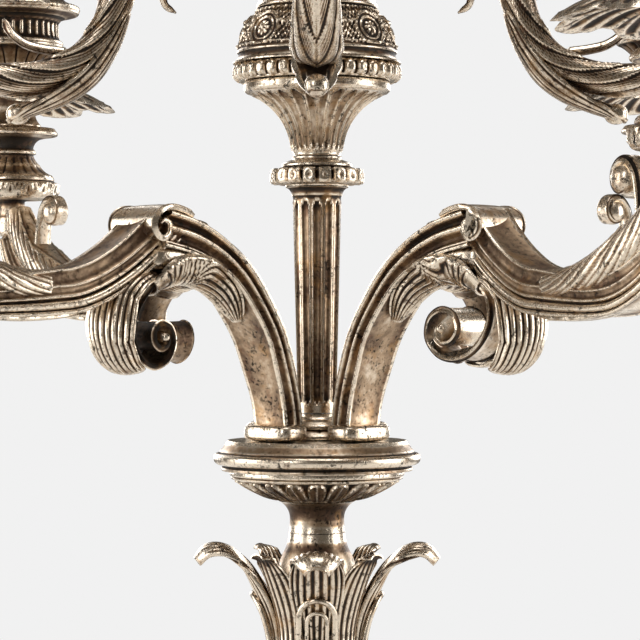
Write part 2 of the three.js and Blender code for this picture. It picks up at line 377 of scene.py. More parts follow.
def shift(piece: bpy.types.Object, *steps: Matrix) -> bpy.types.Object:
    """Moves a piece's mesh by each matrix in turn and leaves its object at the origin."""
    for step in steps:
        piece.data.transform(step)
    piece.data.update()
    return piece


def moved(x: float = 0.0, y: float = 0.0, z: float = 0.0) -> Matrix:
    """A move in mm."""
    return Matrix.Translation(Vector((x, y, z)) * MM)


def turned_to(degrees: float, axis: str = "Z") -> Matrix:
    """A turn about an axis."""
    return Matrix.Rotation(math.radians(degrees), 4, axis)


# ---------------------------------------------------------------- finishes


def srgb(code: str) -> tuple[float, float, float, float]:
    """A linear colour from an sRGB hex value."""
    parts = [int(code[i : i + 2], 16) / 255 for i in (0, 2, 4)]
    linear = [p / 12.92 if p <= 0.04045 else ((p + 0.055) / 1.055) ** 2.4 for p in parts]
    return (*linear, 1.0)


def add_node(
    tree: bpy.types.NodeTree,
    kind: str,
    links: dict | None = None,
    out: int | str = 0,
    **settings: object,
) -> bpy.types.NodeSocket | None:
    """Adds a shader node.

    Args:
        tree: where it goes.
        kind: the node's type, without its "ShaderNode".
        links: input name or number to a value, or to the output that feeds it.
        out: which of its outputs is wanted.
        settings: the node's own properties, or stops, a colour ramp's places and sRGB colours.

    Returns:
        The output, where the node has one.
    """
    node = tree.nodes.new("ShaderNode" + kind)
    stops = settings.pop("stops", ())
    for _ in stops[2:]:
        node.color_ramp.elements.new(0.5)
    for i, (place, code) in enumerate(stops):
        element = node.color_ramp.elements[i]
        element.position, element.color = place, srgb(code)
    for name, value in settings.items():
        setattr(node, name, value)
    for name, value in (links or {}).items():
        if isinstance(value, bpy.types.NodeSocket):
            tree.links.new(value, node.inputs[name])
        else:
            node.inputs[name].default_value = value
    return node.outputs[out] if node.outputs else None


def per_mm(size: float) -> float:
    """A pattern's scale on Object coordinates for features of that size in mm."""
    return 1 / (size * MM)


@dataclass(frozen=True)
class Finish:
    """A material whose pattern is laid on Object coordinates."""

    name: str = "plain"

    def surface(self, tree: bpy.types.NodeTree, at: bpy.types.NodeSocket) -> dict[str, object]:
        """The shader's inputs, each a value or the output that feeds it."""
        raise NotImplementedError

    def make(self) -> bpy.types.Material:
        """Builds the material."""
        material = bpy.data.materials.new(self.name)
        material.use_nodes = True
        tree = material.node_tree
        tree.nodes.clear()
        at = add_node(tree, "TexCoord", out="Object")
        shader = add_node(tree, "BsdfPrincipled", self.surface(tree, at))
        add_node(tree, "OutputMaterial", {"Surface": shader})
        return material


@dataclass(frozen=True)
class WornSilver(Finish):
    """Silver plate over cast brass, polished on its ridges for a century and left dark below.

    The plate is warm and bright where hands and cloths reach, dark brown in each groove from tarnish
    and painted shade, rubbed through to the brass in places, and pitted with black specks where the plate
    has failed.
    """

    NOISE_ROUGHNESS: ClassVar[float] = 0.6
    name: str = "worn_silver_plate_on_brass"
    bright: str = "dccdb9"
    plain: str = "a18a71"
    dull: str = "584435"
    # dark: the grooves' colour, tarnish with painted shade
    dark: str = "261d13"
    pit: str = "14100c"
    brass: str = "a67c48"
    copper: str = "75503c"
    tarnish: float = 0.0  # adds to the dark all over
    blotch: float = 14.0  # mm across the cloudy areas
    smear: float = 2.4  # mm across the uneven marks of a polishing cloth
    grit: float = 0.5  # mm between the cast skin's grains
    speck: float = 1.5  # mm across a pit and its surroundings
    bump: float = 0.10  # height of grain and smears in mm

    def surface(self, tree: bpy.types.NodeTree, at: bpy.types.NodeSocket) -> dict[str, object]:
        """Bright metal on the ridges, and rough dark patina with painted shade in the grooves."""
        rough = {"Roughness": self.NOISE_ROUGHNESS}
        sizes = (self.blotch, self.smear, self.grit, self.speck, self.speck * 3)
        cloud, fine, grain, speck, patch = (
            add_node(tree, "TexNoise", {"Vector": at, "Scale": per_mm(size), "Detail": detail, **rough})
            for size, detail in zip(sizes, (4.0, 6.0, 3.0, 3.0, 5.0))
        )
        tarnish_and_groove_shade = self._tarnish_and_groove_shade(tree, cloud, fine)
        stops = ((0.12, self.bright), (0.36, self.plain), (0.62, self.dull), (0.92, self.dark))
        colour = self._worn_through(tree, at, add_node(tree, "ValToRGB", {0: tarnish_and_groove_shade}, stops=stops))
        pits = self._pits(tree, speck, patch, cloud)
        colour = add_node(tree, "Mix", {0: pits, 6: colour, 7: srgb(self.pit)}, out=2, data_type="RGBA")
        rough = add_node(tree, "MapRange", {0: tarnish_and_groove_shade, 1: 0.0, 2: 1.0, 3: 0.17, 4: 0.52})
        rough = add_node(tree, "Math", {0: fine, 1: 0.18, 2: rough}, operation="MULTIPLY_ADD")
        height = add_node(tree, "Math", {0: grain, 1: 0.35, 2: fine}, operation="MULTIPLY_ADD")
        height = add_node(tree, "Math", {0: pits, 1: -1.2, 2: height}, operation="MULTIPLY_ADD")
        return {
            "Base Color": colour,
            "Roughness": rough,
            "Metallic": add_node(tree, "MapRange", {0: tarnish_and_groove_shade, 1: 0.45, 2: 1.0, 3: 1.0, 4: 0.55}),
            "Normal": add_node(tree, "Bump", {0: 0.55, "Distance": self.bump * MM, "Height": height}),
        }

    def _tarnish_and_groove_shade(
        self, tree: bpy.types.NodeTree, cloud: bpy.types.NodeSocket, fine: bpy.types.NodeSocket
    ) -> bpy.types.NodeSocket:
        """How dark a place is: tarnish with painted shade deep in grooves, cloudy tarnish elsewhere."""
        # Groove depth darkens the colour: partly tarnish, partly painted shade.
        groove = add_node(tree, "Attribute", out="Fac", attribute_name=HOLLOW)
        total: bpy.types.NodeSocket | float = self.tarnish - 0.45
        for part, weight in ((cloud, 0.9), (fine, 0.5), (groove, 0.95)):
            total = add_node(tree, "Math", {0: part, 1: weight, 2: total}, operation="MULTIPLY_ADD")
        return add_node(tree, "MapRange", {0: total, 1: -0.12, 2: 1.0, 3: 0.0, 4: 1.0})

    def _worn_through(
        self, tree: bpy.types.NodeTree, at: bpy.types.NodeSocket, colour: bpy.types.NodeSocket
    ) -> bpy.types.NodeSocket:
        """Brass and a coppery bloom where the plate has gone thin."""
        for size, code, low in ((9.0, self.brass, 0.57), (6.0, self.copper, 0.58)):
            place = add_node(tree, "Mapping", {0: at, 1: (size, 0.3, size * 2)})
            links = {"Vector": place, "Scale": per_mm(size), "Detail": 3.0}
            thin = add_node(tree, "TexNoise", {**links, "Roughness": self.NOISE_ROUGHNESS})
            share = add_node(tree, "MapRange", {0: thin, 1: low, 2: low + 0.12, 3: 0.0, 4: 0.4})
            colour = add_node(tree, "Mix", {0: share, 6: colour, 7: srgb(code)}, out=2, data_type="RGBA")
        return colour

    def _pits(self, tree: bpy.types.NodeTree, *noises: bpy.types.NodeSocket) -> bpy.types.NodeSocket:
        """Black specks and short scratches that gather in patches."""
        speck, patch, cloud = noises
        both = add_node(tree, "Math", {0: patch, 1: 0.5, 2: speck}, operation="MULTIPLY_ADD")
        dots = add_node(tree, "MapRange", {0: both, 1: 0.80, 2: 0.90, 3: 0.0, 4: 1.0})
        where = add_node(tree, "MapRange", {0: cloud, 1: 0.40, 2: 0.58, 3: 0.25, 4: 0.9})
        return add_node(tree, "Math", {0: dots, 1: where}, operation="MULTIPLY")


@dataclass(frozen=True)
class TurnedSteel(Finish):
    """Plain turned steel: grey, with a fine uneven grain from the tool."""

    name: str = "turned_steel"
    colours: Sequence[str] = ("5f5e5b", "8b8a86")
    grain: float = 0.8  # mm

    def surface(self, tree: bpy.types.NodeTree, at: bpy.types.NodeSocket) -> dict[str, object]:
        """Grey metal of uneven roughness."""
        grain = add_node(tree, "TexNoise", {"Vector": at, "Scale": per_mm(self.grain), "Detail": 4.0})
        return {
            "Base Color": add_node(tree, "ValToRGB", {0: grain}, stops=tuple(enumerate(self.colours))),
            "Roughness": add_node(tree, "MapRange", {0: grain, 3: 0.3, 4: 0.5}),
            "Metallic": 1.0,
        }


@dataclass(frozen=True)
class Felt(Finish):
    """Pressed wool felt: matt, mottled and slightly hairy."""

    name: str = "green_wool_felt"
    colours: Sequence[str] = ("1e2e22", "2f4434")
    tuft: float = 1.0  # mm

    def surface(self, tree: bpy.types.NodeTree, at: bpy.types.NodeSocket) -> dict[str, object]:
        """Rough wool with a soft sheen."""
        wool = add_node(tree, "TexNoise", {"Vector": at, "Scale": per_mm(self.tuft), "Detail": 6.0})
        return {
            "Base Color": add_node(tree, "ValToRGB", {0: wool}, stops=tuple(enumerate(self.colours))),
            "Roughness": 0.95,
            "Sheen Weight": 0.3,
            "Normal": add_node(tree, "Bump", {"Distance": 0.2 * MM, "Height": wool}),
        }


@dataclass(frozen=True)
class PaleFloor(Finish):
    """A matt pale sheet that fades out at its edge."""

    name: str = "pale_floor"
    colour: str = "f4f4f3"
    fade: tuple[float, float] = (0.9, 2.1)  # metres from its middle where it starts and ends

    def surface(self, tree: bpy.types.NodeTree, at: bpy.types.NodeSocket) -> dict[str, object]:
        """Matt and even, and clear from a way out."""
        out = add_node(tree, "VectorMath", {0: at}, out="Value", operation="LENGTH")
        start, end = self.fade
        alpha = add_node(tree, "MapRange", {0: out, 1: start, 2: end, 3: 1.0, 4: 0.0})
        return {"Base Color": srgb(self.colour), "Roughness": 0.8, "Alpha": alpha}


class Look(Enum):
    """The object's finishes."""

    POLISHED = WornSilver()
    HANDLED = WornSilver(name="handled_silver_plate_on_brass", tarnish=0.1)
    TARNISHED = WornSilver(name="tarnished_silver_plate_on_brass", tarnish=0.2)
    STEEL = TurnedSteel()
    FELT = Felt()


Looks = dict[Look, bpy.types.Material]


def dress(
    piece: bpy.types.Object,
    looks: Looks,
    node: str,
    look: Look = Look.HANDLED,
    body: str = STAND,
    crease: float = 60.0,
) -> None:
    """Finishes a piece and puts it in its CAD node's place.

    Args:
        piece: the piece.
        looks: the materials.
        node: the CAD node that it stands for.
        look: its finish.
        body: the CAD body that it rides on.
        crease: edges sharper than this stay sharp, in degrees.
    """
    bpy.ops.object.select_all(action="DESELECT")
    piece.select_set(True)
    bpy.context.view_layer.objects.active = piece
    bpy.ops.object.shade_smooth_by_angle(angle=math.radians(crease))
    piece.data.materials.clear()
    piece.data.materials.append(looks[look])
    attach(piece, body)
    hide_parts(node)
    log.info("%s: %d vertices on %s", piece.name, len(piece.data.vertices), body)


# ---------------------------------------------------------------- ornament


def phase(angle: Array, count: int) -> Array:
    """Where each direction lies within one of count equal repeats, from -0.5 to 0.5."""
    share = angle / 360 * count
    return share - np.floor(share + 0.5)


def within(height: Array, low: float, high: float, soft: float = 0.5) -> Array:
    """1 between two heights and 0 outside them."""
    return ease(low, low + soft, height) * (1 - ease(high - soft, high, height))


@dataclass(frozen=True)
class Flutes:
    """Round-ended hollows side by side, each with a fine raised lip."""

    count: int
    low: float
    high: float
    depth: float
    share: float = 0.36  # half the flute's width, as a share of one repeat
    lip: float = 0.12
    end: float = 2.0  # length of the round ends

    def __call__(self, angle: Array, height: Array, radius: Array) -> Array:
        """The relief in mm."""
        p = np.abs(phase(angle, self.count))
        over = np.maximum(np.maximum(self.low + self.end - height, height - self.high + self.end), 0)
        reach = self.share * np.sqrt(np.clip(1 - (over / self.end) ** 2, 1e-4, 1))
        inside = np.clip(1 - (p / reach) ** 2, 0, 1)
        shown = (height > self.low) & (height < self.high) & (radius > 5)
        edge = np.exp(-(((p - reach - 0.045) / 0.035) ** 2)) * self.lip
        return np.where(shown, edge - self.depth * np.sqrt(inside), 0)


@dataclass(frozen=True)
class Gadroons:
    """Round lobes side by side with a sharp valley between each two."""

    count: int
    low: float
    high: float
    depth: float
    lean: float = 0.0  # degrees that they turn over their height
    rib: float = 0.0  # a fine rib along each lobe's middle

    def __call__(self, angle: Array, height: Array, radius: Array) -> Array:
        """The relief in mm."""
        rise = (height - self.low) / (self.high - self.low)
        p = phase(angle + self.lean * rise, self.count)
        lobe = np.sqrt(np.clip(1 - (2 * p) ** 2, 0, 1)) - 1
        middle = self.rib * np.exp(-((p / 0.06) ** 2))
        shown = within(height, self.low, self.high, 0.8) * (radius > 5)
        return (self.depth * lobe + middle) * shown


@dataclass(frozen=True)
class Beads:
    """A row of round beads."""

    count: int
    low: float
    high: float
    depth: float
    least: float  # smallest radius that carries beads

    def __call__(self, angle: Array, height: Array, radius: Array) -> Array:
        """The relief in mm."""
        p = phase(angle, self.count) * 2
        q = (height - (self.low + self.high) / 2) / ((self.high - self.low) / 2)
        round_ = np.clip(1 - np.abs(p / 0.92) ** 2.4 - np.abs(q) ** 2.4, 0, 1) ** 0.45
        dimple = 0.12 * np.exp(-((p / 0.3) ** 2 + (q / 0.3) ** 2))
        return self.depth * (round_ - dimple) * (radius > self.least)


@dataclass(frozen=True)
class LeafRow:
    """Overlapping leaves that stand side by side, ribbed, with round tips."""

    count: int
    low: float
    high: float
    depth: float
    ribs: int = 5
    down: bool = False

    def __call__(self, angle: Array, height: Array, radius: Array) -> Array:
        """The relief in mm."""
        rise = (height - self.low) / (self.high - self.low)
        rise = np.clip(1 - rise if self.down else rise, 0, 1)
        front = self._leaf(phase(angle, self.count), rise, 1.0)
        back = self._leaf(phase(angle + 180 / self.count, self.count), rise * 0.94, 0.8)
        shown = within(height, self.low, self.high, 0.4) * (radius > 5)
        return np.maximum(front, back - 0.45 * self.depth) * shown

    def _leaf(self, p: Array, rise: Array, share: float) -> Array:
        """One row's leaves: a round-tipped outline with ribs that meet at the tip."""
        half = 0.47 * share * np.sqrt(np.clip(1 - np.clip((rise - 0.45) / 0.55, 0, 1) ** 2, 0, 1))
        q = np.clip(np.abs(p) / np.maximum(half, 1e-3), 0, 1.6)
        body = ease(1.02, 0.94, q) * (0.55 + 0.45 * rise) * (1 - 0.25 * q**2)
        rib = 0.10 * np.cos(math.tau * self.ribs * p / np.maximum(2 * half, 1e-2)) * (q < 0.95)
        rim = 0.16 * np.exp(-(((q - 0.93) / 0.07) ** 2))
        return self.depth * (body + (rib + rim) * ease(0.0, 0.15, rise) * (q < 1.05))


@dataclass(frozen=True)
class Relief2D:
    """Chased ornament in panels: an arch over a boss, swags between, and scattered dots."""

    count: int
    low: float
    high: float
    depth: float

    def __call__(self, angle: Array, height: Array, radius: Array) -> Array:
        """The relief in mm."""
        p = phase(angle, self.count) * 2
        rise = (height - self.low) / (self.high - self.low)
        ring = np.hypot(p / 0.62, (rise - 0.42) / 0.42)
        arch = np.exp(-(((ring - 1) / 0.1) ** 2)) + 0.7 * np.exp(-(((ring - 0.68) / 0.07) ** 2))
        boss = np.clip(1 - (ring / 0.42) ** 2, 0, 1) ** 0.5
        petals = 0.35 * np.cos(8 * np.arctan2(rise - 0.42, p * 0.7)) * (ring < 0.42)
        side = np.abs(p)
        swag = np.exp(-(((rise - 0.55 - 0.35 * (side - 1) ** 2) / 0.05) ** 2)) * (side > 0.5)
        leafy = 0.5 * np.sin(side * 38) * np.sin(rise * 34 + side * 9) * (ring > 1.08)
        rail = np.exp(-(((rise - 0.05) / 0.03) ** 2)) + np.exp(-(((rise - 0.95) / 0.03) ** 2))
        shown = within(height, self.low, self.high, 0.5) * (radius > 8)
        return self.depth * (arch + boss + petals + swag + leafy + rail - 0.6) * shown


@dataclass(frozen=True)
class Leaf:
    """A cast leaf or scroll: a thin ribbed shell along a track."""

    points: Points
    widths: Sequence[float]
    thickness: float = 2.0
    crown: Sequence[float] = ()  # how far its middle stands off its edges, at each point
    ribs: float = 0.0
    rib_depth: float = 0.35
    lobes: int = 0
    lobe_depth: float = 0.15
    fan: float = 0.0  # ribs that cross its far half in place of the lengthwise ones
    rim: float = 0.0  # height of a raised edge
    face: int = 1  # which side is ribbed and round: 1 to the left of the track, -1 to the right
    lined: bool = False  # whether its other side is ribbed too

    def build(self, name: str, across: int = 64, along: int = 60) -> bpy.types.Object:
        """Builds the shell in its arm's plane."""
        track = Track(self.points)

        def keyed(values: Sequence[float], v: Array) -> Array:
            """A setting along the shell, or nothing where it has none."""
            return track.keyed(values, v) if len(values) else np.zeros_like(v)

        def place(u: Array, v: Array) -> Coordinates:
            """A point of the shell."""
            outer = np.where(u <= 0.5, 1, -1)
            q = np.where(u <= 0.5, 4 * u - 1, 3 - 4 * u)
            scallop = np.abs(np.sin(math.pi * self.lobes * v)) if self.lobes else np.ones_like(v)
            half = np.maximum(keyed(self.widths, v), 0.02) / 2 * (1 - self.lobe_depth * (1 - scallop**0.7))
            crown = keyed(self.crown, v)
            s, c = np.sin(q * math.pi / 2), np.cos(q * math.pi / 2)
            size = np.hypot(crown * s, half * c) + 1e-6
            fade = ease(0, 0.06, v) * ease(0.02, 0.16, 1 - v)
            wall = self.thickness * (1 - 0.6 * q**4) * (0.35 + 0.65 * ease(0, 0.08, 1 - v))
            wall = wall * (np.abs(q) < 0.9999)  # the two skins meet at the edges
            shown = outer if self.lined else outer > 0
            rise = self._relief(q, v) * fade * shown + outer * wall / 2
            lateral = half * s + crown * s / size * rise
            return track.lay(v, lateral, self.face * (crown * c + half * c / size * rise))

        return lay(name, across, along, place)

    def _relief(self, q: Array, v: Array) -> Array:
        """The ribs and the rim, in mm."""
        crossing = ease(0.45, 0.8, v) if self.fan else np.zeros_like(v)
        wave = self.ribs * q / 2 * (1 - crossing) + self.fan * v * crossing
        ribs = self.rib_depth * (np.abs(np.cos(math.pi * wave)) - 0.5) * (np.abs(q) < 0.93)
        return ribs * (self.ribs > 0) + self.rim * np.exp(-(((np.abs(q) - 0.88) / 0.08) ** 2))


@dataclass(frozen=True)
class Mouldings:
    """The side of a moulded band, from its top edge to its bottom edge.

    Each strip has an end, as a share of the side's depth, and a relief in mm at its middle, given
    at the band's near end and at its far end. A relief above 0 stands proud and below 0 is hollow.
    """

    ends: Sequence[float]
    far_ends: Sequence[float]
    relief: Sequence[float]
    far_relief: Sequence[float]
    samples: Sequence[int]
    face: int = 14  # faces across the under side
    top: int = 10  # faces across the top
    hollow: float = 1.6  # depth of the under side's hollow
    crown: float = 0.4  # height of the top's crown

    def loop(self, far: bool) -> Array:
        """One end's section: lateral share, depth share, inset and lift for each point."""
        ends = self.far_ends if far else self.ends
        relief = self.far_relief if far else self.relief
        side, start = [], 0.0
        for end, proud, count in zip(ends, relief, self.samples):
            for k in range(count):
                x = k / count
                swell = proud * math.sin(math.pi * x) ** 0.75 if x else 0.0
                side.append((1.0, start + (end - start) * x, -swell, 0.0))
            start = end
        side.append((1.0, 1.0, 0.0, 0.0))
        under = []
        for k in range(1, self.face):
            a = 1 - 2 * k / self.face
            under.append((a, 1.0, 0.0, self.hollow * (1 - abs(a) ** 5)))
        back = [(-a, d, i, e) for a, d, i, e in reversed(side)]
        top = []
        for k in range(1, self.top):
            a = -1 + 2 * k / self.top
            top.append((a, 0.0, 0.0, self.crown * (1 - a * a)))
        return np.array([*side, *under, *back, *top])


@dataclass(frozen=True)
class MouldedBand:
    """A moulded band along a track that marks its top edge."""

    points: Points
    depths: Sequence[float]
    widths: Sequence[float]
    mouldings: Mouldings

    def build(self, name: str, along: int) -> bpy.types.Object:
        """Builds the band in its arm's plane."""
        track = Track(self.points)
        near, far = self.mouldings.loop(False), self.mouldings.loop(True)
        count = len(near)

        def place(u: Array, v: Array) -> Coordinates:
            """A point of the band's skin."""
            i = np.rint(u * count).astype(int) % count
            a, d, inset, lift = (near[i] * (1 - v[:, None]) + far[i] * v[:, None]).T
            width, depth = track.keyed(self.widths, v), track.keyed(self.depths, v)
            lateral = a * width / 2 - np.sign(a) * inset
            return track.lay(v, lateral, lift - d * depth)

        return lay(name, count, along, place)


def cushion(name: str, centre: Sequence[float], half: Sequence[float], power: float) -> bpy.types.Object:
    """A block with soft, swelling sides.

    Args:
        name: the piece's name.
        centre: its middle in mm.
        half: its half sizes in mm.
        power: 1 is a ball and near 0 a box.

    Returns:
        The piece.
    """

    def place(u: Array, v: Array) -> Coordinates:
        """A point of the block's skin."""
        a, b = u * math.tau, (v - 0.5) * math.pi
        ring = np.abs(np.cos(b)) ** power
        x = np.sign(np.cos(a)) * np.abs(np.cos(a)) ** power * ring
        y = np.sign(np.sin(a)) * np.abs(np.sin(a)) ** power * ring
        z = np.sign(np.sin(b)) * np.abs(np.sin(b)) ** power
        return tuple(c + h * s for c, h, s in zip(centre, half, (x, y, z)))

    return lay(name, 40, 20, place)


# ---------------------------------------------------------------- stem


@dataclass(frozen=True)
class TurnedPiece:
    """One turned piece of the stem; its outline counts height from its CAD node's lowest point."""

    node: str
    outline: Points
    steps: int = 96  # faces round it
    pitch: float = 2.0  # longest step along the outline
    reliefs: Sequence[Relief] = ()
    slot: Slot = Slot.SILVER
    look: Look = Look.HANDLED
    rubbed: float = 0.0
    crease: float = 40.0

    def build(self, looks: Looks) -> None:
        """Turns, carves and dresses the piece."""
        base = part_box(self.node)[0].z / MM
        piece = turn(self.node + "_cast", self.outline, self.steps, self.pitch, base)
        for relief in self.reliefs:
            carve(piece, relief, base)
        measure_hollows(piece, self.rubbed)
        dress(piece, looks, self.node, self.look, crease=self.crease)


@dataclass
class Stem:
    """Everything on the stem's axis, from the felt to the central candle post."""

    looks: Looks
    bore: float = 3.5

    def build(self) -> None:
        """Builds the stem from the bottom up."""
        for part in (*self.foot(), *self.lower_stem(), *self.disc(), *self.column(), *self.crown()):
            part.build(self.looks)
        calyx = join(CalyxLeaves().build(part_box("leaf_calyx")[0].z / MM))
        dress(calyx, self.looks, "leaf_calyx", Look.TARNISHED)

    def foot(self) -> list[TurnedPiece]:
        """The felt, plinth, dome and collar of the foot."""
        b = self.bore
        return [
            TurnedPiece("base_felt", [
                (0, 0), (97.4, 0), (98, 0.6, 0.4), (98, 1.5), (97.5, 2, 0.4), (0, 2),
            ], 96, 12, slot=Slot.FELT, look=Look.FELT),
            TurnedPiece("foot_plinth", [
                (96, 0), (102, 0), (103, 1, 0.4), (103, 3.2), (101.4, 4), (103.8, 7.2, 0.45),
                (101.4, 10.4, 0.45),
                (100.2, 11.2), (100.2, 12.4), (98, 13.4, -0.4), (100.6, 17.2, 0.5), (97.4, 21, 0.5),
                (95.6, 22),
                (95.6, 23.4), (92, 25, -0.4), (91.5, 27.4, 0.6), (88, 28.7), (83, 28.7), (86, 22.7),
                (94, 17.7),
            ], 300, 1.4, [Gadroons(60, 13.4, 21.2, 1.5, lean=2.5)]),
            TurnedPiece("foot_dome", [
                (82, 0), (86, 0), (87, 1.5, 0.5), (86, 3, 0.5), (84, 4), (84, 5.2), (80, 8, 0.3),
                (29, 45, -0.3),
                (28, 48), (29, 50, 0.8), (27.6, 52.7, 0.2), (b, 52.7), (b, 45.7), (24, 45.7),
                (32, 30.7),
                (60, 12.7), (78, 5.7),
            ], 240, 1.4, [LeafRow(16, 8, 44, 1.5, ribs=5)]),
            TurnedPiece("foot_collar", [
                (b, 0), (26, 0), (27, 1.2, 0.5), (30.6, 5, 0.3), (27, 9.4, 0.5), (25, 10), (25, 11.2),
                (19, 16.7, -0.35), (b, 16.7),
            ], 224, 0.9, [Beads(32, 1.8, 8.4, 0.9, 24)]),
        ]

    def lower_stem(self) -> list[TurnedPiece]:
        """The baluster, knop and the core inside the leaves."""
        b = self.bore
        return [
            TurnedPiece("baluster", [
                (b, 0), (17.6, 0), (18.4, 1.6, 0.9), (17.4, 3.2), (16.6, 6), (18, 9, 0.6), (16.8, 12),
                (24, 34, -0.1), (35.8, 76, 0.14), (35.8, 82, 0.1), (34.8, 83.6), (36, 86, 0.8),
                (34.6, 88.4),
                (29, 102, 0.25), (16, 116, -0.15), (14, 121, -0.1), (16, 123.4, 0.9), (14.4, 125.6),
                (15, 128.7, -0.3), (b, 128.7), (b, 120.7), (23, 102.7), (31, 86.7), (27, 52.7),
                (16, 23.7), (b, 6.7),
            ], 240, 1.6, [
                LeafRow(12, 13, 58, 1.2, ribs=5), Beads(48, 84, 88, 0.8, 33),
                Gadroons(20, 90, 113, 1.3, rib=0.3),
            ]),
            TurnedPiece("knop", [
                (b, 0), (14, 0), (15.2, 1.6, 0.9), (14, 3.2), (14, 4), (22, 5.6, -0.2), (26, 9.8, 0.42),
                (22, 14, 0.42), (14, 15.8, -0.2), (14, 16.6), (15.2, 18.2, 0.9), (14, 19.7), (b, 19.7),
            ], 192, 0.9, [Gadroons(24, 5.6, 14, 1.2, lean=10)]),
            TurnedPiece("calyx_stem", [
                (b, 0), (13, 0), (14, 1.5, 0.9), (13, 3), (12, 10, -0.1), (15, 21.7, -0.15),
                (19.4, 29.7, -0.1),
                (20.4, 32.6, 0.6), (19.4, 35.6, 0.6), (15.6, 39.7, -0.3), (15, 47.7), (17, 59.7, 0.1),
                (17, 74.7, 0.1), (13, 87.7, 0.1), (11.2, 94.7, -0.1), (b, 94.7),
            ], 154, 1.2, [Flutes(14, 4, 29, 0.9, end=2.4)], Slot.DARK_SILVER, Look.TARNISHED),
            TurnedPiece("neck", [
                (b, 0), (11.2, 0), (10.9, 4.6, -0.05), (15.3, 12.4, -0.32), (b, 12.4),
            ], 96, 0.8, look=Look.TARNISHED),
        ]

    def disc(self) -> list[TurnedPiece]:
        """The disc that the lower arms stand on, and the bowl under it."""
        b = self.bore
        return [
            TurnedPiece("disc_underside", [
                (b, 0), (14.6, 0), (15.4, 0.5, 0.6), (25, 3.4, 0.1), (33, 8.2, 0.06), (33.4, 8.6),
                (34.4, 9.2, 0.6), (33.8, 10),
                (35, 10.6, 0.6), (35, 11.7), (31, 11.7), (30, 8.4), (14, 3.5), (12, 11.7), (b, 11.7),
            ], 320, 0.8, [self._under_leaves()], rubbed=-0.12),
            TurnedPiece("arm_disc", [
                (b, 0), (37.4, 0), (38.3, 0.7, 0.7), (37.5, 1.5, 0.5), (37.5, 2), (39, 2.4),
                (41.4, 4.6, 0.42),
                (39.6, 7, 0.5), (39, 7.2), (38.8, 7.8), (35.8, 12, -0.06), (b, 12),
            ], 144, 0.9, rubbed=-0.1),
        ]

    def _under_leaves(self) -> Relief:
        """Flat leaves round the bowl, with dark slots between their ragged tips."""

        def relief(angle: Array, height: Array, radius: Array) -> Array:
            """The relief in mm."""
            p = np.abs(phase(angle, 20)) * 2
            outwards = np.clip((radius - 15.5) / 17, 0, 1)
            half = 0.9 * np.sqrt(np.clip(1 - np.clip((outwards - 0.62) / 0.38, 0, 1) ** 2, 0.01, 1))
            slot = ease(half - 0.06, half + 0.08, p)
            vein = 0.5 * np.exp(-((p / 0.09) ** 2)) + 0.35 * np.exp(-(((p - half + 0.14) / 0.07) ** 2))
            shown = ease(15.4, 16.4, radius) * (1 - ease(32.4, 33, radius)) * (height < 8.3)
            return (vein * (slot < 0.5) - 1.7 * slot) * shown

        return relief

    def column(self) -> list[TurnedPiece]:
        """The fluted column with its base, leaf-tip ring and capital."""
        b = self.bore
        return [
            TurnedPiece("column_base", [
                (b, 0), (9.8, 0), (10.6, 1.7, 0.8), (9.6, 3.2), (9, 4), (9.8, 5.8, 0.8), (8.8, 7.4),
                (8.8, 8),
                (7.4, 10.2, -0.3), (b, 10.2),
            ], 96, 0.6),
            TurnedPiece("fluted_column", [
                (b, 0), (7.6, 0), (7.8, 3), (7.9, 10), (9.7, 86.2), (10.2, 86.8), (12.6, 90, -0.35),
                (b, 90),
            ], 240, 1.3, [Flutes(12, 4, 84, 1.1, share=0.33, lip=0.22, end=1.8)]),
            TurnedPiece("leaf_tip_ring", [
                (b, 0), (12.6, 0), (13.2, 0.8, -0.3), (17.2, 1.2), (18.2, 3, 0.35), (18, 5.6, 0.15),
                (16.8, 6.8, 0.5),
                (13, 7.2), (13.2, 9.6, 0.9), (11, 10.4), (9.9, 11.1, -0.3), (9.9, 11.7), (b, 11.7),
            ], 252, 0.65, [self._leaf_tips()]),
            TurnedPiece("capital", [
                (b, 0), (9.9, 0), (9.6, 1.4, -0.4), (10.3, 2.8), (28.4, 25.4, -0.31), (29, 26),
                (29.3, 27.6, 0.4),
                (29, 29.4, 0.3), (b, 29.7),
            ], 312, 0.9, [Flutes(26, 2.6, 24.6, 0.6, share=0.36, lip=0.34, end=2.2)],
                look=Look.POLISHED, rubbed=0.5),
        ]

    def _leaf_tips(self) -> Relief:
        """A row of small curled leaf tips round the ring."""

        def relief(angle: Array, height: Array, radius: Array) -> Array:
            """The relief in mm."""
            p = np.abs(phase(angle, 18)) * 2
            gap = ease(0.78, 0.92, p) * within(height, 0.9, 7, 0.4)
            eye = np.exp(-((p / 0.3) ** 2 + ((height - 4) / 1.1) ** 2))
            round_ = np.sqrt(np.clip(1 - p**2, 0, 1)) * within(height, 1, 7, 0.6)
            return (0.8 * round_ - 1.5 * gap - 0.8 * eye) * (radius > 14.5)

        return relief

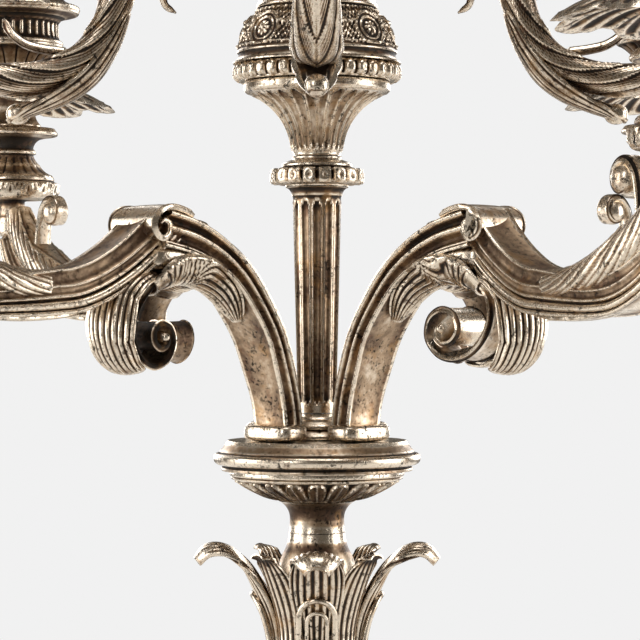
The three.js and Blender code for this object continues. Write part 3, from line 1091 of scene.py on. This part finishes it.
    def crown(self) -> list[TurnedPiece]:
        """The bead ring, urn, hub and everything above it."""
        b = self.bore
        return [
            TurnedPiece("bead_ring", [
                (20, 0), (30.8, 0), (31.2, 0.5, 0.3), (31.2, 6.2), (30.8, 6.7, 0.3), (20, 6.7),
            ], 456, 0.5, [Beads(38, 0.2, 6.5, 2.9, 30.6)], crease=60),
            TurnedPiece("urn", [
                (b, 0), (19.6, 0), (19.6, 7), (33.6, 7), (33.6, 7.5), (31.5, 11, -0.4), (32, 11.8, 0.6),
                (31.6, 12.6), (30.2, 19, 0.1), (26.6, 26, 0.12), (23.6, 29, -0.2), (24, 30.6, 0.6),
                (23.2, 32.7),
                (b, 32.7), (b, 28.7), (20, 28.7), (27, 18.7), (16, 3.7), (b, 3.7),
            ], 384, 0.62, [Relief2D(8, 12.8, 28.6, 1.0)]),
            TurnedPiece("hub", [
                (b, 0), (21.6, 0), (22.6, 0.8, 0.5), (22.6, 2), (24, 3.6, -0.3), (24, 28), (22.8, 29),
                (24.4, 30.4, 0.8),
                (23.8, 31.7), (18.5, 31.7), (18.5, 4.7), (b, 4.7),
            ], 256, 1.4, [Flutes(32, 4, 27.6, 0.8, end=1.6)], Slot.DARK_SILVER, Look.TARNISHED),
            TurnedPiece("hub_cap", [
                (b, 0), (24.6, 0), (25.4, 1.6, 0.8), (24.4, 3), (23.6, 3.4), (20, 5.6, 0.2),
                (14, 7, -0.2), (13, 7.6),
                (13.4, 8.7, 0.8), (12, 9.7), (b, 9.7),
            ], 192, 0.8, [LeafRow(16, 3.4, 7, 0.8, ribs=3)]),
            TurnedPiece("top_stem", [
                (0, 21.7), (b, 21.7), (b, 0), (11, 0), (11.8, 1.2, 0.8), (10.8, 2.4), (9, 6, -0.3),
                (13.2, 14, 0.12),
                (12.4, 20, 0.3), (8, 27.7, -0.15), (9.2, 29.2, 0.9), (7.6, 30.8), (6.2, 42, -0.08),
                (6.6, 56),
                *[(r, h + 91.7, *bulge) for r, h, *bulge in CUP_POST],
            ], 160, 1.2, [Gadroons(12, 6, 24, 0.8), CupPost.dome_relief(91.7)]),
        ]


@dataclass(frozen=True)
class CalyxLeaves:
    """Four broad leaves with a framed niche each, four narrow ones between, and a ring."""

    broad: Leaf = Leaf(
        points=[(15, 4), (14.8, 14), (17, 26), (22, 36.5), (28.4, 43.4), (35.8, 47), (42.4, 46.6),
            (46.4, 43)],
        widths=[11, 12.4, 16.4, 20, 20.6, 19.4, 15.6, 9],
        thickness=1.8, crown=[2.6, 3, 4, 3.6, 1, -2.6, -4.4, -4], ribs=10, rib_depth=0.75, rim=0.6,
        face=-1, lined=True,
    )
    narrow: Leaf = Leaf(
        points=[(14.6, 8), (14.4, 18), (16, 28), (19.6, 37), (24.4, 43.6), (29.4, 47.2), (33.4, 47.4)],
        widths=[11, 11.4, 12.6, 13, 11.6, 9, 6.4],
        thickness=1.6, crown=[2, 2.4, 3.2, 3.2, 1.8, -0.6, -2], ribs=7, rib_depth=0.6, rim=0.5,
        face=-1, lined=True,
    )

    face_heights: Sequence[float] = (-4.0, 4.0, 14.0, 24.0, 34.0)  # heights on a broad leaf's back
    face_radii: Sequence[float] = (19.0, 19.2, 19.8, 22.4, 26.8)  # and how far out it is there

    def build(self, base: float) -> list[bpy.types.Object]:
        """Builds each leaf once and copies it round the stem.

        Args:
            base: height of the calyx's lowest point.

        Returns:
            The pieces.
        """
        broad = join([self.broad.build("broad_leaf", 92, 64), *self.niche()])
        narrow = self.narrow.build("narrow_leaf", 60, 48)
        outline = [(15, 0), (19.6, 0), (20.8, 2.4, 0.6), (19.4, 4.8, 0.5), (15, 6)]
        ring = turn("leaf_calyx_cast", outline, 160, 0.8)
        for piece in (broad, narrow, ring):
            measure_hollows(piece)
        made = [ring]
        for i in range(4):
            made.append(shift(copy_of(broad, f"broad_leaf_{i}"), turned_to(90 * i)))
            made.append(shift(copy_of(narrow, f"narrow_leaf_{i}"), turned_to(90 * i + 45)))
        discard(broad, narrow)
        return [shift(piece, moved(z=base)) for piece in made]

    def niche(self) -> list[bpy.types.Object]:
        """A round-headed frame and a smaller one inside it, low on a broad leaf's back."""
        return [self._frame("niche_frame", 7.0, 31.5, 1.3), self._frame("niche_inner", 4.0, 26.4, 0.9)]

    def _frame(self, name: str, half: float, top: float, thick: float) -> bpy.types.Object:
        """A bent rod with a round head that lies on a leaf's back.

        Args:
            name: the piece's name.
            half: half its width.
            top: its highest point.
            thick: the rod's radius.

        Returns:
            The piece.
        """

        def place(u: Array, v: Array) -> Coordinates:
            """A point of the rod's skin."""
            s = v * 2 - 1
            bend = np.clip(s / 0.5, -1, 1) * math.pi / 2
            straight = np.clip((np.abs(s) - 0.5) / 0.5, 0, 1)
            y = half * np.sin(bend)
            z = top - half + half * np.cos(bend) * (np.abs(s) <= 0.5) - straight * (top - half + 2)
            out = through(self.face_heights, self.face_radii, z) - 0.02 * y**2
            ring = u * math.tau
            push = thick * np.cos(ring)
            return out + thick * np.sin(ring), y + push * np.sin(bend), z + push * np.cos(bend)

        return lay(name, 12, 72, place)


# ---------------------------------------------------------------- cups

# The turned post that carries a candle, down from the top of its flange.
CUP_POST: Points = [
    (6, -34), (7.6, -33.2), (18.6, -32.8, 0.05), (21.4, -30.8, 0.4), (21.8, -27, 0.12),
    (20.8, -25.2, 0.4),
    (19.6, -24.8), (18.4, -21.6, 0.3), (13, -17, -0.2), (9.8, -12, -0.15), (11, -10.6, 0.9),
    (9.9, -9.2),
    (15, -4.4, -0.35), (19.8, -3.4), (21, -1.7, 0.9), (19.8, 0), (5.2, 0), (5.2, -12), (0, -12),
]


@dataclass(frozen=True)
class CupPost:
    """A candle post for the end of an arm."""

    stem: float = 50.0  # from the flange down to the arm

    @staticmethod
    def dome_relief(top: float = 0.0) -> Relief:
        """The chased band round the post's dome."""

        def relief(angle: Array, height: Array, radius: Array) -> Array:
            """The relief in mm."""
            h = height - top
            p = phase(angle, 16) * 2
            wave = 0.45 * np.cos(math.pi * p) * np.sin((h + 31) * 1.05) + 0.3 * np.cos(3 * math.pi * p)
            band = within(h, -31, -25.6, 0.4) * (radius > 19)
            neck = 0.5 * (np.sqrt(np.clip(1 - phase(angle, 20) ** 2 * 4, 0, 1)) - 1)
            return wave * band + neck * within(h, -23.6, -13, 0.8) * (radius > 8)

        return relief

    def build(self, name: str) -> bpy.types.Object:
        """Turns and carves the post with its flange at height 0."""
        foot = ((0, 0), (5.6, 0), (6.6, 4, 0.2), (6, 9, 0.1))
        outline = [*((r, h - self.stem, *bulge) for r, h, *bulge in foot), *CUP_POST]
        piece = turn(name, outline, 128, 1.3)
        carve(piece, self.dome_relief())
        return piece


@dataclass(frozen=True)
class DripPan:
    """A round pan of eight ribbed leaves whose tips droop."""

    radius: float = 49.0
    leaves: int = 8
    ribs: int = 5
    wall: float = 1.7

    def build(self, name: str) -> bpy.types.Object:
        """Builds the leaves and the hub with the pan's seat at height 0."""

        def place(u: Array, v: Array) -> Coordinates:
            """A point of the leaves' skin."""
            angle = u * 360
            p = phase(angle, self.leaves) * 2
            top = v <= 0.5
            s = np.where(top, 2 * v, 2 - 2 * v)
            rim = self.radius * (1 - 0.2 * np.abs(p) ** 2.2 * (0.9 + 0.1 * np.cos(9 * p)))
            r = 11 + (rim - 11) * s
            droop = 9.5 * np.clip((r - 24) / 25, 0, 1.1) ** 2 + 2.2 * np.clip((20 - r) / 9, 0, 1) ** 2
            valley = 2.4 * np.abs(p) ** 1.6 * ease(0.1, 0.8, s)
            rib = 0.55 * np.cos(math.pi * self.ribs * p) * ease(0.12, 0.4, s) * ease(1, 0.93, s)
            edge = 0.6 * np.exp(-(((s - 0.955) / 0.03) ** 2))
            under = rib * 0.7 - self.wall * (0.4 + 0.6 * ease(1, 0.9, s))
            z = 18.2 - droop - valley + np.where(top, rib + edge, under)
            a = np.radians(angle)
            return r * np.cos(a), r * np.sin(a), z

        leaves = lay(name, 192, 38, place, cap=False)
        hub = turn(name + "_hub", [
            (5.3, 0.3), (12.4, 0.3), (13.2, 1.8, 0.8), (12, 3.4), (11, 9, -0.2), (14, 14.6, -0.3),
            (13, 16.4, 0.5),
            (11, 17.6, -0.4), (10.6, 18.2), (5.3, 18.2),
        ], 48, 1.4)
        return join([leaves, hub], rubbed=0.0)


@dataclass(frozen=True)
class Nozzle:
    """The candle's own holder, a fluted vase with a wide rim, which lifts off."""

    outline: Points = (
        (0, -8), (4.4, -8), (4.8, -7.4), (4.8, 18.3), (9.6, 18.3), (10.4, 19.8, 0.9), (9.4, 21.2),
        (13.4, 27.6, -0.2),
        (22.4, 37, -0.15), (23.6, 38.8, 0.6), (23.2, 40.6, 0.5), (22, 41.4), (21.6, 49, -0.06),
        (22.6, 50.2),
        (25, 51.6, -0.3), (30.2, 53, -0.1), (31, 54.6, 0.6), (30.4, 56.8, 0.4), (27, 58.2, -0.1),
        (24, 60.6, -0.25),
        (22.4, 61, 0.4), (12, 61), (11.3, 60.3, 0.4), (11.3, 31), (0, 31),
    )

    def build(self, name: str) -> bpy.types.Object:
        """Turns and flutes the nozzle with the pan's seat at height 0."""
        piece = turn(name, self.outline, 180, 1.5)
        carve(piece, Gadroons(18, 23, 37, 1.2))
        carve(piece, lambda a, h, r: Flutes(36, 41.8, 49.4, 0.7, end=0.8)(a, h, r) * (r > 18))
        carve(piece, lambda a, h, r: Beads(60, 54.2, 57, 0.5, 29)(a, h, r))
        measure_hollows(piece)
        return piece


@dataclass
class Cups:
    """Nine drip pans and nine nozzles, each on its own post."""

    looks: Looks
    spigot: float = 8.0  # how far a nozzle reaches below its pan's seat
    places: Sequence[str] = (*(f"{tier}_{i}" for tier in ("lower", "upper") for i in range(1, 5)), "top")

    def build(self) -> None:
        """Makes one pan and one nozzle and copies them to each post."""
        pan, nozzle = DripPan().build("pan_pattern"), Nozzle().build("nozzle_pattern")
        for place in self.places:
            low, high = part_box(f"nozzle_{place}")
            middle = (low + high) / 2 / MM
            # Half a leaf's turn sets the gap between two leaves straight away from the stem.
            outwards = math.degrees(math.atan2(middle.y, middle.x)) + 180 / DripPan.leaves
            steps = (turned_to(outwards), moved(middle.x, middle.y, low.z / MM + self.spigot))
            copy = shift(copy_of(pan, f"drip_pan_{place}_cast"), *steps)
            dress(copy, self.looks, f"drip_pan_{place}")
            copy = shift(copy_of(nozzle, f"nozzle_{place}_cast"), *steps)
            dress(copy, self.looks, f"nozzle_{place}", body=f"candle_nozzle_{place}", crease=50)
        discard(pan, nozzle)


# ---------------------------------------------------------------- arms


@dataclass
class LowerArms:
    """Four arches that stand on the disc and the four branches that swivel under their rolls."""

    looks: Looks
    first: float = -45.0
    pivot: float = 91.0  # the branch's stud, from the stem axis
    reach: float = 124.0  # from that stud to the candle
    flange: float = 137.0  # top of the candle post, above the disc
    turns: Sequence[float] = (-16.0, -6.0, -6.0, -6.0)  # each branch as it was set on its stud

    arch: MouldedBand = MouldedBand(
        points=[(16.4, 4), (18, 16), (23.6, 33), (28.4, 43.5), (37.2, 57), (47.6, 69.4), (59.4, 78.6),
            (73, 85),
                (88, 88.8)],
        depths=[9.4, 9.6, 9.4, 8.8, 9, 10, 11.8, 13.2, 14],
        widths=[17.4, 17.4, 19.2, 20.4, 21.4, 22, 22.6, 23.4, 24],
        mouldings=Mouldings(
            ends=(0.09, 0.34, 0.42, 0.86, 0.91, 1.0),
            far_ends=(0.12, 0.38, 0.52, 0.82, 0.88, 1.0),
            relief=(0.4, -1.4, 0.4, -2.6, 0.35, 0.5),
            far_relief=(0.6, -3.2, 0.6, -3.2, 0.35, 0.6),
            samples=(4, 8, 4, 12, 3, 5),
            hollow=0.5,
        ),
    )
    under_leaf: Leaf = Leaf(
        points=[(43, 48), (47, 56), (53.5, 64), (62, 69.6), (72, 72.6), (82, 72.4), (90.6, 68.6),
            (95.6, 62)],
        widths=[5, 13, 19, 22.6, 24.6, 25.4, 25, 23],
        thickness=2.4, crown=[1, 4, 6.6, 8.6, 10, 10.6, 10, 8], ribs=11, rib_depth=1.3, fan=17, lobes=3,
        lobe_depth=0.1, rim=0.6, face=-1,
    )
    pendant: Leaf = Leaf(
        points=[(91, 63.4), (98.6, 60.4), (104, 54), (106, 46.4), (105.2, 39), (101.4, 33), (95.6, 30)],
        widths=[19, 22, 24.4, 25, 23.4, 19, 13],
        thickness=2.6, crown=[2, 3.4, 4.6, 5, 4.6, 3.6, 2], ribs=12, rib_depth=1.2, lobes=3,
        lobe_depth=0.1,
        rim=0.4, face=1,
    )
    tight_volute: Leaf = Leaf(
        points=[
            (92, 62.6), (97.6, 56), (101.4, 49), (102.4, 41), (99, 33.6), (91.6, 30), (85, 33.4),
            (83, 40), (85.6, 45.6),
            (90.6, 46.8), (94, 43.6), (94, 39.6), (91, 37.2), (87.8, 38.6), (87.4, 41.6), (89.6, 43),
            (91, 41.6),
        ],
        widths=[17, 14, 13, 13.4, 14.4, 15.4, 16.4, 17.2, 18, 18.4, 19, 19.6, 20, 20.4, 20.8, 21, 21],
        thickness=2.6, crown=[0, -1, -1.6, -1.8, -1.8, -1.6, -1.4, *[-0.8] * 10], rim=0.8, face=1,
    )
    open_volute: Leaf = Leaf(
        points=[
            (93, 62), (96.8, 55), (96.6, 47), (93, 40), (86.6, 34.6), (78.4, 32.8), (70.6, 35),
            (66, 41.6), (67.6, 48.6),
            (74, 52), (80.6, 49.6), (82.6, 44), (79.4, 39.8), (74.8, 39), (71.4, 41.6), (72, 45),
            (75, 46.6), (77.2, 44.6),
        ],
        widths=[17, 14, 13, 13.4, 14.4, 15.2, 15.6, 16, 16.4, 16.8, 17, 17.4, 17.8, 18, 18.4, 18.8, 19,
            19],
        thickness=2.8, crown=[0, -1, -1.6, -1.8, -1.8, -1.6, -1.4, *[-0.8] * 11], rim=0.8, face=1,
    )
    roll: Leaf = Leaf(
        points=[(76, 87), (82, 88.8), (88, 89.6), (93, 88.8), (96.4, 86), (97, 82.4), (94.8, 79.4),
            (91.6, 78.8),
                (89.2, 80.8), (89.2, 83.6), (91.4, 85), (93.6, 83.8)],
        widths=[22, 23.6, 25, 26.4, 27, 26.6, 26, 25.4, 25, 25, 25, 25], thickness=2.4,
        crown=[0.6, 0.6, 0.4, -0.4, -1, -1, -0.6, *[0.0] * 5], rim=0.9, face=1,
    )
    branch: MouldedBand = MouldedBand(
        points=[(1, 90), (5.6, 85.4), (10.6, 81), (16, 76.8), (22.3, 72.8), (29, 69.4), (36, 67.2),
            (44, 66.2),
                (53, 65), (63, 63.6), (74, 62.8), (84, 63.6), (94, 66.8), (104, 72.4), (112.6, 80),
                (119, 89.4)],
        depths=[17, 16.8, 16.6, 16.4, 16.4, 16.4, 16.6, 16.4, 15.8, 14.6, 13.8, 13.8, 13.4, 12.6, 11,
            9],
        widths=[16, 16, 16, 16, 16, 16, 16, 15.8, 15.4, 15, 14.6, 14, 13.4, 12.6, 12, 11],
        mouldings=Mouldings(
            ends=(0.05, 0.40, 0.46, 0.60, 0.66, 0.73, 0.88, 0.92, 1.0),
            far_ends=(0.05, 0.26, 0.31, 0.52, 0.60, 0.68, 0.87, 0.91, 1.0),
            relief=(0.3, -1.3, 0.4, -0.7, 0.5, -1.4, 0.8, -0.8, 0.4),
            far_relief=(0.3, -0.9, 0.4, -0.9, 0.5, -1.6, 0.9, -0.9, 0.4),
            samples=(3, 7, 4, 6, 4, 5, 7, 3, 4),
            hollow=0.8,
            crown=-0.8,
            face=10,
            top=8,
        ),
    )

    def build(self) -> None:
        """Builds each kind of arch and one branch and copies them round the stem."""
        arches = [self.build_arch(volute) for volute in (self.open_volute, self.tight_volute)]
        branch = self.build_branch()
        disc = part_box("arm_disc")[1].z / MM
        for i, twist in enumerate(self.turns):
            placed = (turned_to(self.first + 90 * i), moved(z=disc))
            steps = (turned_to(twist), moved(self.pivot), *placed)
            arch = shift(copy_of(arches[min(i, 1)], f"arch_cast_{i + 1}"), *placed)
            dress(arch, self.looks, f"lower_arch_{i + 1}", Look.POLISHED)
            copy = shift(copy_of(branch, f"branch_cast_{i + 1}"), *steps)
            dress(copy, self.looks, f"lower_branch_{i + 1}", Look.POLISHED)
        discard(*arches, branch)

    def build_arch(self, volute: Leaf) -> bpy.types.Object:
        """The foot, arch, roll, leaf and volute, cast in one.

        Args:
            volute: the scroll that the casting ends in.

        Returns:
            The casting in its own plane.
        """
        (x, z), (back_x, back_z) = volute.points[-1], volute.points[-3]
        eye = ((x + back_x) / 2, 0, (z + back_z) / 2)
        parts = [
            self.arch.build("arch_pattern", 90),
            cushion("arch_foot", (23.2, 0, 3.7), (7.8, 12.8, 3.6), 0.5),
            cushion("arch_web", (82, 0, 71), (12, 10.5, 4.6), 0.5),
            self.under_leaf.build("under_leaf", 84, 66),
            self.pendant.build("pendant_leaf", 84, 60),
            volute.build("volute_band", 52, 130),
            cushion("volute_eye", eye, (2.8, volute.widths[-1] / 2 + 1, 2.8), 0.8),
            self.roll.build("roll", 52, 84),
        ]
        return join(parts, rubbed=0.02)

    def build_branch(self) -> bpy.types.Object:
        """The swivelling branch with its leaf, ball curl and candle post, cast in one."""
        curl = spiral((87.4, 96.6), 8, 1.6, 20, 1.3)
        leg = [(97.6, 66), (98.6, 74), (98.4, 83), (97.4, 91.6), (95, 99), *curl[2:]]
        count = len(leg)
        widths = [9.4, 8.6, 7.6, 7, 6.8, *[6.6 + 3.4 * i / (count - 6) for i in range(count - 5)]]
        scroll = Leaf(points=leg, widths=widths, thickness=3.6, crown=[-0.5] * count, rim=0.5, face=-1)
        sheath = LeafClad(
            points=[(46, 60.6), (58, 61.2), (70, 63.6), (82, 67.6), (94, 73.4), (104, 80.4),
                (112, 88.6), (118, 98)],
            depths=[10.4, 11.4, 13, 14.6, 15, 14, 12, 10],
            widths=[16.4, 17.6, 18.4, 18.8, 18.4, 17, 15, 12.4],
            lobes=0.8, slant=0.7, ribs=13, height=0.8, rib_depth=0.4, plain=0.94, blunt=True,
        )
        keel = Leaf(
            points=[(30, 51), (44, 49.4), (62, 49.2), (80, 51.6), (94, 56)], widths=[2, 7, 9, 8, 2],
            thickness=2.6, ribs=3, rib_depth=0.4, lobes=7, lobe_depth=0.14, face=-1,
        )
        parts = [
            self.branch.build("branch_pattern", 90),
            scroll.build("ball_curl", 36, 90),
            cushion("curl_ball", (87.4, 0, 96.6), (5.8, 5.8, 5.8), 0.95),
            sheath.build("sheath_leaf", 88, 96),
            keel.build("keel_leaf", 28, 48),
            shift(CupPost().build("cup_post"), moved(self.reach, 0, self.flange)),
        ]
        return join(parts, rubbed=0.1)


@dataclass(frozen=True)
class LeafClad:
    """A swelling arm wrapped in long ribbed leaves that peel off it one after another."""

    points: Points
    depths: Sequence[float]
    widths: Sequence[float]
    lobes: float = 10.0  # leaves along the arm
    slant: float = 4.2  # how far along the arm each leaf lies, in leaves
    ribs: int = 5
    height: float = 1.7
    rib_depth: float = 0.28
    plain: float = 0.80  # above this share of the side the arm is plain
    blunt: bool = False  # whether its near end is cut square

    def build(self, name: str, across: int, along: int) -> bpy.types.Object:
        """Builds the arm in its own plane."""
        track = Track(self.points)

        def place(u: Array, v: Array) -> Coordinates:
            """A point of the arm's skin."""
            a = u * math.tau
            side = np.where(a <= math.pi, a, math.tau - a) / math.pi
            run = v * self.lobes - side * self.slant + 10
            f = run - np.floor(run)
            tip = self.plain - 0.16 * (2 * f - 1) ** 2
            leaf = ease(tip + 0.02, tip - 0.03, side)
            step = self.height * (0.25 + 0.75 * f**0.8) * ease(1.0, 0.93, f)
            rib = self.rib_depth * np.abs(np.cos(math.pi * self.ribs * f)) ** 1.3
            rim = 0.5 * np.exp(-(((side - tip + 0.03) / 0.025) ** 2))
            keel = 0.8 * np.exp(-((side / 0.05) ** 2))
            fade = ease(0, 0.05, 1 - v) * (1 if self.blunt else ease(0, 0.04, v))
            grown = ((step + rib) * leaf + rim + keel - 0.6) * fade
            c, s = np.cos(a), np.sin(a)
            width, depth = track.keyed(self.widths, v), track.keyed(self.depths, v)
            lateral = np.sign(s) * np.abs(s) ** 0.85 * (width / 2 + grown)
            lift = -np.sign(c) * np.abs(c) ** 0.85 * (depth / 2 + grown * 0.7)
            return track.lay(v, lateral, lift)

        return lay(name, across, along, place)


@dataclass
class UpperArms:
    """Four leaf-clad arms bolted to the hub."""

    looks: Looks
    first: float = -90.0
    cup: float = 168.0
    flange: float = 31.0

    arm: LeafClad = LeafClad(
        points=[(27, 0), (40, 6), (54, 8.4), (66, 6.6), (75.6, -1), (80, -14), (85, -29), (94, -40.6),
            (106, -47),
                (120, -49.4), (134, -47.8), (147, -41), (158, -30.6), (165.6, -19.4)],
        depths=[11, 10, 10.6, 12.4, 14, 13.4, 12.2, 12.2, 12.8, 13, 12.4, 11, 9, 7.6],
        widths=[15, 15, 16, 17, 17, 16.4, 16, 16.4, 17, 17, 16, 14, 12, 11],
    )
    leaf_tip: Leaf = Leaf(
        points=[(77, -22), (85, -36), (94, -46.6), (103, -53.6), (111, -58.4), (118, -62.2),
            (124, -66.6)],
        widths=[8, 12.6, 15, 14.4, 12, 9, 5], thickness=5, crown=[0.4, 3.4, 5, 4.2, 2.4, 1, 0.2],
        ribs=9,
        rib_depth=0.6, lobes=4, lobe_depth=0.12, rim=0.4, face=-1,
    )
    horn: Leaf = Leaf(
        points=[(101, -39.6), (109, -38.6), (117, -36.2), (123, -31), (125.4, -25.6)],
        widths=[10, 9, 7, 4.4, 1.4],
        thickness=3.4, crown=[1, 1, 0.8, 0.4, 0], ribs=3, rib_depth=0.4, face=1,
    )
    leaf_curl: Leaf = Leaf(
        points=[(44, 1), (51, -2.4), (57, -8), (60.4, -14), (60, -19.6), (56.4, -23)],
        widths=[15, 16, 15, 12, 8, 3], thickness=2.2, crown=[1, 2, 2, 1.4, 0.8, 0.2], ribs=7,
        rib_depth=0.8, rim=0.4,
        face=1,
    )

    def build(self) -> None:
        """Builds one arm and copies it round the hub."""
        arm = self.build_arm()
        low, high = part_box("upper_nut_1")
        for i in range(4):
            steps = (turned_to(self.first + 90 * i), moved(z=(low.z + high.z) / 2 / MM))
            copy = shift(copy_of(arm, f"arm_cast_{i + 1}"), *steps)
            dress(copy, self.looks, f"upper_arm_{i + 1}", Look.TARNISHED)
        discard(arm)

    def build_arm(self) -> bpy.types.Object:
        """The root, arm, roll, leaves and candle post, cast in one."""
        roll = turn("upper_roll", [
            (0, -10.4), (2.4, -11, 0.5), (3.4, -10, 0.2), (5.4, -9.8, -0.4), (7, -11, 0.4),
            (9.2, -10, 0.4), (9.2, 10),
            (7, 11, 0.4), (5.4, 9.8, 0.4), (3.4, 10, -0.4), (2.4, 11, 0.2), (0, 10.4, 0.5),
        ], 64, 1.0)
        shift(roll, turned_to(90, "X"), moved(86, 0, -8))
        parts = [
            self.arm.build("arm_pattern", 98, 250),
            roll,
            self.leaf_tip.build("leaf_tip", 52, 44),
            cushion("leaf_nub", (119.6, 0, -63.6), (4.8, 4.4, 4.2), 0.95),
            self.horn.build("horn", 28, 28),
            self.leaf_curl.build("leaf_curl", 48, 40),
            cushion("arm_root", (28.2, 0, 0), (4.2, 8.4, 9.4), 0.3),
            shift(CupPost().build("upper_cup_post"), moved(self.cup, 0, self.flange)),
        ]
        return join(parts, rubbed=0.0)


# ---------------------------------------------------------------- setting


@dataclass
class Fasteners:
    """The steel rod and nuts, whose CAD shapes are kept."""

    looks: Looks

    def build(self) -> None:
        """Gives each fastener its steel."""
        for name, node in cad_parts.items():
            if name.startswith(("tie_rod", "lower_nut", "upper_nut")):
                node.data.materials.clear()
                node.data.materials.append(self.looks[Look.STEEL])
                log.info("%s: turned steel", name)


@dataclass(frozen=True)
class Studio:
    """A pale floor, soft lights and the camera."""

    eye_height: float = 430.0
    distance: float = 979.0
    lens: float = 137.6
    aside: float = 1.2
    backdrop: str = "f1f1f1"
    room: str = "cfc8bd"
    glow: float = 0.2

    def build(self) -> None:
        """Sets up everything round the object."""
        self.floor()
        self.world()
        self.lights()
        data = bpy.data.cameras.new("camera")
        data.lens, data.sensor_width = self.lens, 36.0
        camera = bpy.data.objects.new("camera", data)
        camera.location = Vector((self.aside, -self.distance, self.eye_height)) * MM
        camera.rotation_euler = (math.radians(90), 0, 0)
        bpy.context.scene.collection.objects.link(camera)
        bpy.context.scene.camera = camera
        bpy.context.scene.view_settings.view_transform = "Standard"

    def floor(self) -> None:
        """A round pale floor."""
        bpy.ops.object.select_all(action="DESELECT")
        bpy.ops.mesh.primitive_circle_add(vertices=96, radius=3.0, fill_type="NGON")
        floor = bpy.context.active_object
        floor.name = "floor"
        floor.data.materials.append(PaleFloor().make())

    def world(self) -> None:
        """A pale backdrop that lights the metal only softly."""
        world = bpy.data.worlds.new("studio")
        bpy.context.scene.world = world
        world.use_nodes = True
        tree = world.node_tree
        tree.nodes.clear()
        seen = add_node(tree, "Background", {0: srgb(self.backdrop), 1: 1.0})
        room = add_node(tree, "Background", {0: srgb(self.room), 1: self.glow})
        path = add_node(tree, "LightPath", out="Is Camera Ray")
        add_node(tree, "OutputWorld", {0: add_node(tree, "MixShader", {0: path, 1: room, 2: seen})})

    def lights(self) -> None:
        """Large soft boxes on both sides, one above and one behind."""
        for name, place, size, watts in (
            ("left_box", (-1.7, -0.15, 0.55), (1.3, 1.5), 24),
            ("right_box", (1.7, -0.05, 0.6), (1.1, 1.5), 22),
            ("front_left_strip", (-0.9, -1.5, 1.0), (0.35, 1.3), 7),
            ("back_left_box", (-0.8, 1.6, 0.8), (0.9, 1.2), 14),
            ("back_right_box", (0.9, 1.5, 0.8), (0.9, 1.2), 14),
            ("top_box", (0.1, -0.2, 1.9), (1.0, 1.0), 14),
        ):
            data = bpy.data.lights.new(name, "AREA")
            data.shape, data.size, data.size_y, data.energy = "RECTANGLE", *size, watts
            light = bpy.data.objects.new(name, data)
            light.location = place
            towards = Vector((0, 0, 0.45)) - Vector(place)
            light.rotation_euler = towards.to_track_quat("-Z", "Y").to_euler()
            bpy.context.scene.collection.objects.link(light)


def main() -> None:
    """Builds the candelabrum and its setting."""
    logging.basicConfig(level=logging.INFO, format="%(name)s: %(message)s", stream=sys.stdout)
    looks = {look: look.value.make() for look in Look}
    for assembly in (Stem, LowerArms, UpperArms, Cups, Fasteners):
        assembly(looks).build()
    Studio().build()


if __name__ == "__main__":
    main()
